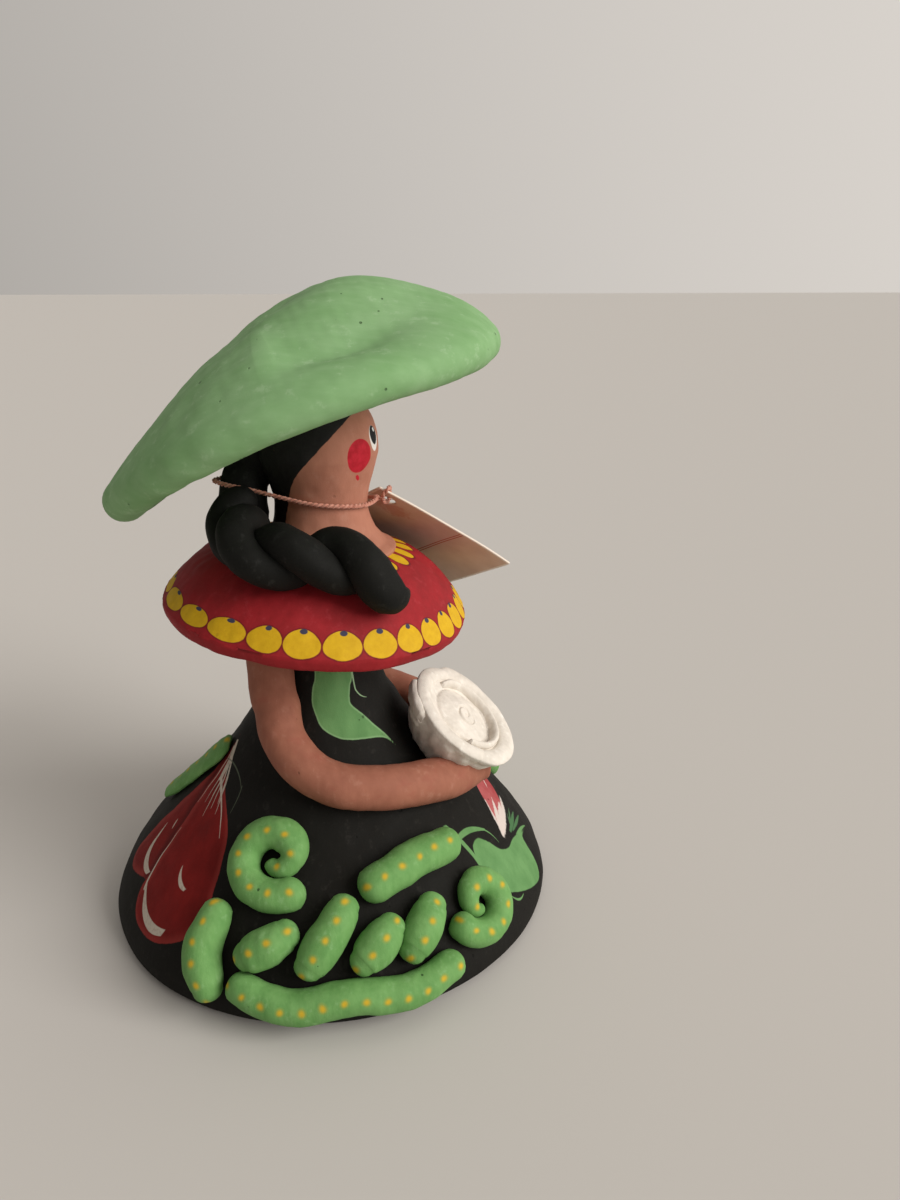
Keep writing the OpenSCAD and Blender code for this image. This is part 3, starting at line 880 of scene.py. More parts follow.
        ragged = s.noise(0.9, 3, s.stretched(1.0, 1.0, 0.4)) * 0.7 - 0.35
        colour = s.paint(colour, (0.64, 0.58, 0.53), s.edge(flames + ragged, 0.2) * 0.92)
        sprig = s.most(
            s.brush(x, y, at(259.4, 18.8), at(272, 17.9), (0.3, 0.5, 0.06), 0.3),
            s.brush(x, y, at(260, 18.6), at(270.6, 19.8), (0.15, 0.3, 0.04), 0.2),
            s.brush(x, y, at(261, 18.4), at(266.4, 20.4), (0.15, 0.22, 0.04), 0.1),
            s.brush(x, y, at(261, 18.2), at(273.4, 15.8), (0.15, 0.4, 0.04), 0.2),
        )
        colour = s.paint(colour, (0.06, 0.15, 0.06), s.edge(sprig + ragged * 0.4, 0.12))
        top_x, top_y, _ = s.split(s.attribute("chart_top", vector=True))
        top = self.placer(self.top_middle)
        bract = s.attribute("bract") + stray * 0.5
        curl = s.most(
            s.brush(top_x, top_y, top(221.6, 76), top(217.6, 62.6), (0.3, 0.28, 0.16), -0.5),
            s.brush(top_x, top_y, top(217.5, 63), top(227.4, 60.2), (0.16, 0.14, 0.04), -0.5),
        )
        colour = s.paint(colour, green, s.edge(bract))
        colour = s.paint(colour, (0.3, 0.5, 0.25), s.edge(bract) * s.edge(0.3 - bract, 0.2) * 0.5)
        return s.paint(colour, (0.3, 0.46, 0.26), s.edge(curl, 0.07) * 0.9)

    def build(self) -> bpy.types.Object:
        """Makes the dress."""
        obj = self.surface().build("dress_bell", "black_clay", nodes=["dress"])
        obj.data.materials.append(BLACK_DRESS.make(self.flowers))
        return obj


# ---------------------------------------------------------------------------
# Collar


@dataclass
class Collar:
    """Domed disc on the dress's top, tilted forward, with two rings of yellow petals."""

    radius: float = 38.0
    rise: float = 16.4
    tilt: float = 6.6
    thick: float = 3.4
    power: float = 3.8
    centre: tuple[float, float, float] = (0.0, 1.0, 83.2)
    petals_at: tuple = (
        136.5, 154, 168.5, 182, 196.5, 210.5, 223.5, 234, 245, 255, 266, 278, 291, 305, 320, 335, 350, 365, 380, 395,
        410, 425, 441, 459, 478,
    )
    inner_petals: int = 24
    petal_r: float = 36.3
    inner_r: float = 19.8
    outer_petal: tuple[float, float] = (4.35, 3.15)
    inner_petal: tuple[float, float] = (1.95, 3.5)
    speck_cell: float = 7.5
    around: int = 400

    def tilted(self, p: Array) -> Array:
        """Turns points about the X axis by the collar's tilt."""
        c, s = np.cos(np.radians(self.tilt)), np.sin(np.radians(self.tilt))
        return np.stack([p[..., 0], p[..., 1] * c - p[..., 2] * s, p[..., 1] * s + p[..., 2] * c], -1)

    def dome(self, r: Any) -> Array:
        """Height of the dome at radius r."""
        return self.rise * (1 - np.abs(np.asarray(r, float) / self.radius) ** self.power)

    def out(self, azimuth: Any, r: Any) -> Array:
        """Unit normal of the dome at each azimuth, in degrees, and radius."""
        a = np.radians(azimuth)
        fall = self.rise * self.power / self.radius * (np.asarray(r, float) / self.radius) ** (self.power - 1)
        return self.tilted(unit(np.stack([fall * np.cos(a), fall * np.sin(a), 1 + 0 * a], -1)))

    def on(self, azimuth: Any, r: Any, off: Any) -> Array:
        """Points that stand off the dome by that much."""
        a = np.radians(azimuth)
        foot = np.stack([r * np.cos(a), r * np.sin(a), self.dome(r) + 0 * a], -1)
        return np.array(self.centre) + self.tilted(foot) + self.out(azimuth, r) * np.asarray(off)[..., None]

    def surface(self) -> Surface:
        """The dome, its lip and its underside as rings of (r, z), each turned round the collar's axis.

        The "ring" fields hold cos and sin of the angle inside each ring's petals, then the distance
        down the dome from the outer petals' middle, or the radius for the inner ones. Below the lip
        that radius is moved far away, so that nothing is painted there.
        """
        top = np.linspace(3, 33, 60)
        fall = np.radians(np.linspace(60.4, 90, 60))
        r = np.concatenate([top, self.radius * np.sin(fall)])
        outer = np.stack([r, self.dome(r)], -1)
        lip = np.array([[37.98, -0.9], [37.7, -1.87], [37.3, -2.8], [36.7, -3.4], [35.9, -3.5]])
        r_under = np.linspace(34.6, 15, 24)
        under = np.stack([r_under, 13 * (1 - (r_under / 34.6) ** 3.2) - 3.06], -1)
        hub = np.array([[14, 2.7], [8, 2.6]])
        rings = np.vstack([outer, spline(lip, 3), under, hub])
        azimuth = np.arange(self.around) * 360 / self.around
        a = np.radians(azimuth)
        count = len(rings)
        flat = revolved(rings, a)
        step = np.linalg.norm(np.diff(rings, axis=0), axis=1)
        run = np.concatenate([[0], np.cumsum(step)])
        every = np.ones(self.around)
        down = (run - np.interp(self.petal_r, rings[: len(outer), 0], run[: len(outer)]))[:, None] * every
        far = 100.0
        radius = rings[:, :1] + np.where(np.arange(count) < len(outer), 0.0, far)[:, None] * every
        turn = np.broadcast_to(a, (count, self.around))
        wobble = 0.07 * lumps(np.stack([38 * np.cos(turn), 38 * np.sin(turn), 0 * turn], -1), 21, 8)
        first = self.petals_at[0]
        stops = np.array(self.petals_at + (first + 360,))
        past = first + (np.degrees(turn) - first) % 360
        outer_turn = 2 * np.pi * np.interp(past, stops, np.arange(len(stops))) + wobble * 5
        inner_turn = self.inner_petals * turn + wobble * 5 + 1.2
        fields = {
            "outer_ring": np.stack([np.cos(outer_turn), np.sin(outer_turn), down], -1),
            "inner_ring": np.stack([np.cos(inner_turn), np.sin(inner_turn), radius], -1),
        }
        made = Surface(np.array(self.centre) + self.tilted(flat), fields=fields)
        share = ease(radius, 16, 24)
        return made.rough(0.28, 17, 11, share).rough(0.09, 5, 12, share)

    def paint(self, s: Shader, colour: Wire) -> Wire:
        """Paints both rings of petals, their blue dots and a few specks.

        Args:
            s: the shader.
            colour: the red underneath.
        Returns:
            The colour with them.
        """
        yellow_mark = s.noise(1.5, 3)
        yellow = s.paint((0.60, 0.35, 0.007), (0.66, 0.40, 0.009), s.ramp(yellow_mark, 0.35, 0.65))
        blue = (0.016, 0.028, 0.085)
        shade = (0.07, 0.003, 0.008)
        stray = s.noise(2.6, 2) * 0.5 - 0.25
        cosine, sine, along = s.split(s.attribute("outer_ring", vector=True))
        pitch = 2 * np.pi * self.petal_r / len(self.petals_at)
        across = s.math("ARCTAN2", sine, cosine) * float(pitch / (2 * np.pi))
        # The outer petals are shorter towards the back
        _, back, _ = s.split(s.place)
        long = s.ramp(back, 0, 24, 1.06, 0.72)
        oval = s.spot(across / (along * 0.03 + 1.0), (along + 0.1) / long, *self.outer_petal) + stray * 0.6
        colour = s.paint(colour, shade, s.edge(oval + 0.3, 0.16) * 0.5)
        colour = s.paint(colour, yellow, s.edge(oval, 0.09))
        dot = s.spot(across - stray - 0.3, along / long + 2.75, 0.95, 0.6) + stray * 0.3
        colour = s.paint(colour, blue, s.edge(dot, 0.1) * 0.95)
        cosine, sine, radius = s.split(s.attribute("inner_ring", vector=True))
        across = s.math("ARCTAN2", sine, cosine) * (radius * float(1 / self.inner_petals))
        along = radius - self.inner_r
        width = s.ramp(along, -4, 3.4, 0.55, 1.25)
        petal = s.spot(across / width, along, *self.inner_petal) + stray * 0.5
        colour = s.paint(colour, shade, s.edge(petal + 0.3, 0.14) * 0.6)
        colour = s.paint(colour, yellow, s.edge(petal, 0.09))
        dot = s.spot(across, along + 3.2, 0.75, 0.8)
        colour = s.paint(colour, blue, s.edge(dot, 0.1) * 0.9)
        away, chance = s.cells(self.speck_cell)
        few = s.edge((chance - 0.8) * 2 - away * 20 + 0.1, 0.1)
        return s.paint(colour, (0.8, 0.55, 0.1), few * 0.9)

    def build(self) -> bpy.types.Object:
        """Makes the collar."""
        obj = self.surface().build("collar_dome", "red_clay", nodes=["collar"])
        obj.data.materials.append(RED_COLLAR.make(self.paint))
        return obj


# ---------------------------------------------------------------------------
# Neck, head and face


@dataclass
class Head:
    """Neck and head in one pin-shaped piece, with a painted face and black hair."""

    ahead: float = 1.3
    radius: float = 14.5
    middle: float = 122.5
    top: float = 15.1
    eye_turn: float = 16.7
    eye_rise: float = 12.4
    cheek_turn: float = 41.0
    cheek_rise: float = -3.8
    cheek_r: float = 3.9
    around: int = 256

    def profile(self) -> Array:
        """The pin's outline: peg, spreading foot, neck and a round head, as (radius, height) rows."""
        peg = [(7, 68), (7, 80), (7, 93)]
        foot = [(12, 93), (15.9, 93), (17.2, 94.6), (17.9, 96.2), (18, 97.2), (16.9, 97.9), (15.6, 98.6)]
        neck = [(13.3, 101.2), (11.9, 104.8), (11.4, 109), (12.1, 112.9), (13.32, 116.7)]
        rise = np.radians(np.linspace(-8, 88, 60))
        dome = np.stack([self.radius * np.cos(rise), self.middle + self.top * np.sin(rise)], -1)
        smooth = spline(neck + [tuple(dome[0])], 12)[:-1]
        return np.vstack([[(2, 68)], peg, spline(foot, 3)[:-1], spline(foot[-1:] + neck[:1], 6)[:-1], smooth, dome])

    def surface(self) -> Surface:
        """The outline turned round its own upright axis, with the face's charts.

        "face" holds azimuth from the front without its sign, elevation seen from the head's
        middle, and the distance past the hair's edge towards the back, in mm.
        """
        a = np.arange(self.around) * 2 * np.pi / self.around
        points = revolved(self.profile()[::-1], a) - np.array([0, self.ahead, 0])
        x, y, z = np.moveaxis(points, -1, 0)
        front = np.degrees(np.arctan2(x, -(y + self.ahead)))
        rise = np.degrees(np.arctan2(z - self.middle, np.hypot(x, y + self.ahead)))
        # How far forward the hair reaches: a smooth maximum of two lines that rise with height
        low, high = -5.2 + 0.2 * (z - 112), 1.02 * (z - 120.9)
        border = 0.5 * (low + high + np.sqrt((low - high) ** 2 + 6))
        face = np.stack([np.abs(front), rise, border + y], -1)
        made = Surface(points, fields={"face": face})
        share = ease(z, 96, 100)
        return made.rough(0.2, 13, 21, share).rough(0.06, 4, 22, share)

    def paint(self, s: Shader, colour: Wire) -> Wire:
        """Paints eyes, cheeks, mouth and hair.

        Args:
            s: the shader.
            colour: the skin underneath.
        Returns:
            The colour with them.
        """
        turn, rise, hair = s.split(s.attribute("face", vector=True))
        degree = float(np.radians(1) * self.radius)
        stray = s.noise(1.6, 2) * 0.3 - 0.15
        x = (turn - self.eye_turn) * (degree * float(np.cos(np.radians(self.eye_rise))))
        y = (rise - self.eye_rise) * degree
        white = s.spot(x, y + 0.75, 2.15, 3.0) + stray * 0.5
        black = s.spot(x + 0.1, y, 1.75, 2.25) + stray * 0.3
        glint = s.spot(x + 0.7, y - 1.2, 0.42, 0.5)
        colour = s.paint(colour, (0.74, 0.7, 0.66), s.edge(white, 0.1))
        colour = s.paint(colour, (0.008, 0.008, 0.009), s.edge(black, 0.09))
        colour = s.paint(colour, (0.75, 0.75, 0.73), s.edge(glint, 0.08))
        x = (turn - self.cheek_turn) * degree
        y = (rise - self.cheek_rise) * degree
        cheek = s.spot(x, y, self.cheek_r * 0.98, self.cheek_r * 1.05) + stray * 0.5
        red = s.paint((0.38, 0.006, 0.016), (0.50, 0.013, 0.03), s.ramp(s.noise(1.8, 3), 0.35, 0.65))
        colour = s.paint(colour, red, s.edge(cheek, 0.1))
        mark = s.brush(x, y, (-0.75, -6.1), (0.35, -4.8), (0.25, 0.5, 0.3))
        x = turn * degree
        mouth = s.most(s.spot(x - 0.35, y + 3.6, 0.6, 0.5), s.spot(x, y + 4.1, 0.75, 0.45))
        colour = s.paint(colour, red, s.edge(s.most(mark, mouth), 0.08))
        black_paint = s.paint((0.0062, 0.006, 0.0056), (0.0105, 0.0098, 0.009), s.ramp(s.noise(5.0, 3), 0.35, 0.65))
        return s.paint(colour, black_paint, s.edge(hair + stray * 1.5, 0.12))

    def build(self) -> bpy.types.Object:
        """Makes the neck and head."""
        obj = self.surface().build("neck_and_head_pin", "brown_clay", nodes=["neck_and_head"])
        obj.data.materials.append(LIT_BROWN_SKIN.make(self.paint))
        return obj


# ---------------------------------------------------------------------------
# Hat


@dataclass
class Hat:
    """Wide hat tipped back: a shallow saddle with flaring sides and a dent along each side."""

    length: float = 46.0
    half_width: float = 42.5
    thick: float = 9.0
    rise: float = 24.5
    tilt: float = 22.0
    centre: tuple[float, float, float] = (0.0, 1.2, 127.1)
    fill: float = 13.0
    side: float = 7.4
    front: float = 2.6
    back: float = 0.6
    dip: float = 6.0
    sag: float = 2.9
    around: int = 384
    dents: tuple = (
        ((-4.0, -39.0, 112.5), 1.7, 0.9),
        ((-9.5, -37.5, 113.5), 1.3, 0.8),
        ((-13.0, 37.0, 146.0), 1.5, 0.9),
        ((-20.0, 35.0, 143.0), 2.2, 0.6),
        ((-13.0, 14.0, 151.5), 14.0, 2.5),
        ((-8.0, 2.0, 157.0), 9.0, 0.6),
        ((-28.5, -17.0, 149.0), 9.0, 1.1),
        ((-31.0, -27.0, 148.0), 8.0, 1.0),
    )

    def middle(self, r: Array, a: Array) -> Array:
        """Middle layer of the hat at share r of the way out, at angle a from its own right.

        Height is edge + (rise - edge)(1 - r^power) less the dents, where edge and power change
        with the angle: high at the sides, low at the front and back.
        """
        sine, cosine = np.sin(a), np.cos(a)
        power = 2.02 - 1.62 * sine + 0.75 * sine**2
        edge = mix(np.where(sine > 0, self.back, self.front), self.side, cosine**2)
        dip = self.dip * np.maximum(0, 1 - ((sine + 0.62) / 0.52) ** 2) * np.sin(np.pi * np.clip(r, 0, 1) ** 2.4) ** 2
        z = edge + (self.rise - edge) * (1 - r**power) - dip - self.sag * np.exp(-((r / 0.2) ** 2))
        return np.stack([self.half_width * r * cosine, self.length * r * sine, z], -1)

    def surface(self) -> Surface:
        """Top and underside of the hat, half its thickness along the normal each way, and a round lip."""
        share = np.concatenate([[0.02, 0.04], np.linspace(0.07, 1, 110)])[:, None]
        a = (np.arange(self.around) * 2 * np.pi / self.around)[None]
        r = share * np.ones_like(a)
        a = a * np.ones_like(r)
        step = 1e-3
        base = self.middle(r, a)
        radial = self.middle(r + step, a) - self.middle(np.maximum(r - step, 0), a)
        circular = self.middle(r, a + step) - self.middle(r, a - step)
        n = unit(np.cross(radial, circular))
        half = self.thick / 2
        over = base + n * half
        under = base - n * half
        under[..., 2] -= self.fill * (1 - r**2) ** 2
        out = unit(np.cross(circular[-1], n[-1]))
        t = np.radians(np.linspace(12, 168, 14))[:, None, None]
        lip = base[-1] + (n[-1] * np.cos(t) + out * np.sin(t)) * half
        p = np.vstack([over, lip, under[::-1]])
        upper = np.vstack([r, np.ones((14, self.around)), r[::-1]])
        c, s = np.cos(np.radians(self.tilt)), np.sin(np.radians(self.tilt))
        p = np.stack([p[..., 0], p[..., 1] * c + p[..., 2] * s, -p[..., 1] * s + p[..., 2] * c], -1)
        made = Surface(p + np.array(self.centre), fields={"brim": upper})
        return self.worked(made)

    def worked(self, made: Surface) -> Surface:
        """Adds what hands left in the clay: slow waves, nicks at the tip and the back, and broad dents.

        Each dent has a place, a size and a depth, and presses its clay one way: along the mean
        inward normal of its middle.

        Args:
            made: the smooth hat.
        Returns:
            The same surface.
        """
        made = made.rough(0.5, 34, 31).rough(0.14, 10, 32).rough(0.05, 3.6, 33)
        p = made.points
        inward = grid_normals(p, False, True)
        for place, size, depth in self.dents:
            near = np.exp(-((np.linalg.norm(p - np.array(place), axis=-1) / size) ** 2))[..., None]
            p = p + unit((inward * near**4).sum((0, 1))) * near * depth
        made.points = p
        return made

    def build(self) -> bpy.types.Object:
        """Makes the hat."""
        obj = self.surface().build("hat_wide", "green_clay", nodes=["hat"])
        obj.data.materials.append(GREEN_HAT.make())
        return obj


# ---------------------------------------------------------------------------
# Arms, hair and rolls


class Side(Enum):
    """A side of the figure, valued by the sign of its X."""

    RIGHT = -1
    LEFT = 1

    def flip(self, surface: Surface) -> Surface:
        """Moves a surface made for her right side to this side."""
        if self is Side.LEFT:
            surface.points = surface.points * np.array([-1.0, 1.0, 1.0])
        return surface


@dataclass
class Arm:
    """Arm that leaves the collar, bends round the bell and holds the rose from below."""

    dress: Dress
    side: Side
    width: float = 11.0
    hand_lift: float = 1.6
    crease_back: float = 3.4
    route: tuple = (
        (138, 78), (140, 71), (144, 64), (153, 58), (163, 52), (176, 47), (190, 43.5), (205, 41.5),
        (220, 40), (236, 37.8), (250, 35.8), (260, 34.2),
    )

    def surface(self) -> Surface:
        """A roll on the bell along the route, thinner at the hand, with a crease that parts the thumb."""
        path = spline(self.route, 14)
        under = 0.42 * self.width * np.ones(len(path))
        t = np.linspace(0, 1, len(path))
        curve = self.dress.on(path[:, 0], path[:, 1], under + 0.1 + self.hand_lift * ease(t, 0.84, 1))
        up = self.dress.out(path[:, 0], path[:, 1])
        half = self.width / 2 * (1 + 0.03 * np.sin(9 * t) - 0.03 * ease(t, 0.8, 1))
        made = sweep(curve, up, half, under * half / half.max(), sides=56, ends=(0.3, 0.6))
        run, across, above = np.moveaxis(made.fields["roll_uv"], -1, 0)
        end = run.max()
        crease = np.exp(-(((run - end + self.crease_back + 0.25 * above) / 0.75) ** 2)) * ease(above, -1, 2.5) * 0.5
        made.points = made.points - grid_normals(made.points, False, True) * crease[..., None]
        return self.side.flip(made.rough(0.22, 13, 41).rough(0.07, 4, 42))

    def build(self) -> bpy.types.Object:
        """Makes the arm."""
        name = self.side.name.lower()
        obj = self.surface().build(f"{name}_arm_roll", "brown_clay", nodes=[f"{name}_arm"])
        obj.data.materials.append(SHADED_ARM_SKIN.make(self.flush))
        return obj

    def flush(self, s: Shader, colour: Wire) -> Wire:
        """Reddens the skin in soft streaks."""
        streak = s.noise(5.0, 3, s.stretched(1.0, 1.0, 1.8))
        return s.paint(colour, (0.3, 0.07, 0.05), s.ramp(streak, 0.55, 0.75, 0.0, 0.35))


@dataclass
class Hair:
    """Roll of hair behind the head, and a braid of two strands that lies on the collar."""

    collar: Collar
    head_z: float = 122.5
    root_w: float = 5.75
    root_back: float = 1.0
    strand_r: float = 4.3
    pitch: float = 27.4
    stretch: float = 1.24
    swell: float = 0.24
    first_cut: float = 0.17
    root: tuple = (
        (0, 11.5, 1.5), (0, 14, -2), (0, 16, -5), (-0.8, 16.9, -6.6), (-1.6, 17.8, -8.5), (-2.5, 18.2, -12),
        (-3.5, 18.2, -15.5),
    )
    route: tuple = (
        (121, 18.8), (132, 21.4), (144, 24), (158, 25.5), (171, 25.5), (184, 25), (197, 25.4), (208, 27.2),
        (216, 29.2),
    )

    def root_surface(self) -> Surface:
        """The roll from under the hat down to where the braid starts."""
        c = spline([(x, y - self.root_back, z + self.head_z) for x, y, z in self.root], 14)
        t = np.linspace(0, 1, len(c))
        w = self.root_w * (1.1 - 0.12 * np.sin(np.pi * t))
        up = np.repeat(unit(np.array([0, 1, 0.2]))[None], len(c), 0)
        return sweep(c, up, w, w, sides=48).rough(0.25, 9, 51).rough(0.06, 3, 52)

    def strand(self, phase: float) -> Surface:
        """One strand: a helix round the braid's middle line, slim at its start and full at its end.

        The helix advances by its pitch over the braid's length, taken as its two ends' distance
        times the stretch. The first strand is cut off before the second.

        Args:
            phase: where it starts round the braid, in degrees, and 0 for the first strand.
        Returns:
            Its surface.
        """
        helix = 0.74 * self.strand_r
        p = spline(self.route, 20)
        k = len(p) - 1
        mid = self.collar.on(p[:, 0], p[:, 1], (self.strand_r + helix + 0.2) * np.ones(k + 1))
        i = np.arange(k + 1)
        step = np.linalg.norm(mid[-1] - mid[0]) * self.stretch / k
        a = np.radians(phase + 360 * i * step / self.pitch)[:, None]
        last = k - int(self.first_cut * k) * (phase == 0)
        n = self.collar.out(p[:, 0], p[:, 1])
        d = tangents(mid)
        radial = n * np.cos(a) + np.cross(d, n) * np.sin(a)
        c = mid + radial * helix
        w = self.strand_r * mix(0.9, 1.02, np.sin(np.pi * i / k) ** 0.6)
        w = w * (1 + self.swell * ease(i / k, 0.7, 1))
        under = np.full(k + 1, helix + 0.1)
        made = sweep(c[:last], unit(radial)[:last], w[:last], under[:last], sides=48)
        return made.rough(0.25, 9, 53 + int(phase)).rough(0.07, 3.3, 54 + int(phase))

    def build(self) -> list[bpy.types.Object]:
        """Makes the roll and both strands."""
        made = [
            self.root_surface().build("hair_roll", "hair_black", nodes=["hair_root"]),
            self.strand(0).build("braid_strand_a", "hair_black", nodes=["braid_strand_1"]),
            self.strand(180).build("braid_strand_b", "hair_black", nodes=["braid_strand_2"]),
        ]
        return coat(made, BLACK_HAIR.make())


@dataclass
class Rolls:
    """Green rolls laid on the bell as leaves, stems and coils, with a row of yellow dots."""

    dress: Dress
    roll_w: float = 9.2
    coil_w: float = 7.8
    lift: float = 0.1
    bed: float = 0.3
    dots: float = 4.5

    def straight(self, route: Sequence, width: float, tip: float, high: float = 1.0) -> Surface:
        """A roll through [azimuth, height] points.

        Args:
            route: the points.
            width: its greatest width.
            tip: how full both ends are, from 0 for half that width to 1 for all of it.
            high: height as a share of the width.
        Returns:
            Its surface.
        """
        p = spline(route, 16)
        t = np.linspace(0, 1, len(p))
        w = width / 2 * mix(0.5 + 0.5 * tip, 1, np.sin(np.pi * t) ** 0.8)
        return self.laid(p, w, self.bed * width * high, high)

    def coil(self, azimuth: float, z: float, width: float, r_out: float, turns: float, start: float) -> Surface:
        """A roll wound round a point of the bell.

        Args:
            azimuth: where the coil's middle is.
            z: its height.
            width: greatest width of the roll.
            r_out: distance from the middle to the tail.
            turns: turns from the middle to the tail, with their sign.
            start: angle of the inner end, in degrees.
        Returns:
            Its surface.
        """
        t = np.linspace(0, 1, 110)
        r = mix(0.28 * width, r_out, t)
        a = np.radians(start) + 2 * np.pi * turns * t
        rise = 1 / np.sqrt(1 + self.dress.slope(z) ** 2)
        p = np.stack([azimuth + np.degrees(r * np.cos(a) / self.dress.radius(z)), z + r * np.sin(a) * rise], -1)
        return self.laid(p, np.minimum(width / 2, 0.8 * r), self.bed * width, 1.0)

    def laid(self, p: Array, w: Array, under: float, high: float) -> Surface:
        """Lays a roll on the bell.

        Args:
            p: its route, as (azimuth, height) rows.
            w: half its width at each point.
            under: depth of its flat underside below its middle line.
            high: height as a share of the width.
        Returns:
            Its surface.
        """
        low = np.full(len(p), under)
        curve = self.dress.on(p[:, 0], p[:, 1], low + self.lift)
        up = self.dress.out(p[:, 0], p[:, 1])
        made = sweep(curve, up, w, low, sides=40, high=high, ends=(0.85, 0.85))
        seed = int(abs(p[0, 0]) * 10)
        return made.rough(0.22, 8, seed).rough(0.08, 2.8, seed + 1)

    def paint(self, s: Shader, colour: Wire) -> Wire:
        """Paints a row of soft yellow dots along the top of the roll.

        Args:
            s: the shader.
            colour: the green underneath.
        Returns:
            The colour with the dots.
        """
        along, across, above = s.split(s.attribute("roll_uv", vector=True))
        wander = s.noise(6.0, 1) * 2.4 - 1.2
        spot_x = (s.math("FRACT", along / self.dots) - 0.5) * self.dots + wander * 0.5
        ring = ((spot_x**2) + (across + wander * 0.7) ** 2) ** 0.5
        top = s.edge(above - 0.5, 0.5)
        colour = s.paint(colour, (0.30, 0.33, 0.05), s.ramp(ring, 0.5, 1.3, 0.85, 0.0) * top)
        return s.paint(colour, (0.58, 0.38, 0.02), s.ramp(ring, 0.25, 0.85, 0.9, 0.0) * top)

    def pieces(self) -> Iterable[tuple[str, Surface]]:
        """Each roll of one side with its node's name."""
        yield "back_coil", self.coil(168, 30.8, self.coil_w, 9.2, 1.12, -103)
        yield "back_leaf", self.straight(((155, 20.5), (154.5, 14), (158, 8)), self.roll_w, 0.55)
        stem = ((165.5, 9.5), (177, 7), (190, 8.2), (203, 7), (214, 8.8))
        yield "hem_stem", self.straight(stem, 0.88 * self.roll_w, 0.75)
        leaves = (
            ((166, 15), (170.5, 16.8), (175, 19.2)),
            ((181, 14), (185, 18), (190, 23)),
            ((193.5, 14), (197, 16), (201.5, 18.8)),
            ((205.5, 14), (209, 16.5), (213.5, 19.8)),
        )
        for i, route in enumerate(leaves):
            yield f"stem_leaf_{i + 1}", self.straight(route, self.roll_w, 0.5)
        yield "top_sprig", self.straight(((199, 25.5), (213, 27.5), (226.5, 27.5)), self.roll_w, 0.85)
        yield "front_coil", self.coil(228, 16.2, 0.9 * self.coil_w, 7.8, -1.1, 236)

    def build(self) -> list[bpy.types.Object]:
        """Makes every roll on both sides, and the single leaf at the back."""
        made = []
        for side in Side:
            for node, surface in self.pieces():
                name = f"{side.name.lower()}_{node}"
                made.append(side.flip(surface).build(name + "_roll", "roll_green", nodes=[name]))
        back = self.straight(((103, 43), (96, 36), (88, 25)), self.roll_w, 0.4, 0.4)
        made.append(back.build("back_leaf_roll", "roll_green", nodes=["back_leaf"]))
        return coat(made, GREEN_ROLL.make(self.paint))


# ---------------------------------------------------------------------------
# Rose


def turned(p: Array, degrees: tuple[float, float, float]) -> Array:
    """Turns points about X, then Y, then Z."""
    (cx, cy, cz), (sx, sy, sz) = np.cos(np.radians(degrees)), np.sin(np.radians(degrees))
    about_x = np.array([[1, 0, 0], [0, cx, -sx], [0, sx, cx]])
    about_y = np.array([[cy, 0, sy], [0, 1, 0], [-sy, 0, cy]])
    about_z = np.array([[cz, -sz, 0], [sz, cz, 0], [0, 0, 1]])
    return p @ (about_z @ about_y @ about_x).T


@dataclass(frozen=True)
class Petal:
    """One petal's sizes, in the rose's own frame.

    Args:
        inner: inner radius.
        outer: outer radius.
        start: angle of its first edge, in degrees.
        angle: how far it goes round.
        top: height of the rim above the rose's face.
        roll: how far the rim bends outward, in mm.
        seed: choice of the unevenness.
        crush: depth of the upright folds in its outside, in mm.
        foot: how far down it reaches, as a share of the rose's depth.
    """

    inner: float
    outer: float
    start: float
    angle: float
    top: float
    roll: float
    seed: int
    crush: float = 0.0
    foot: float = 0.85


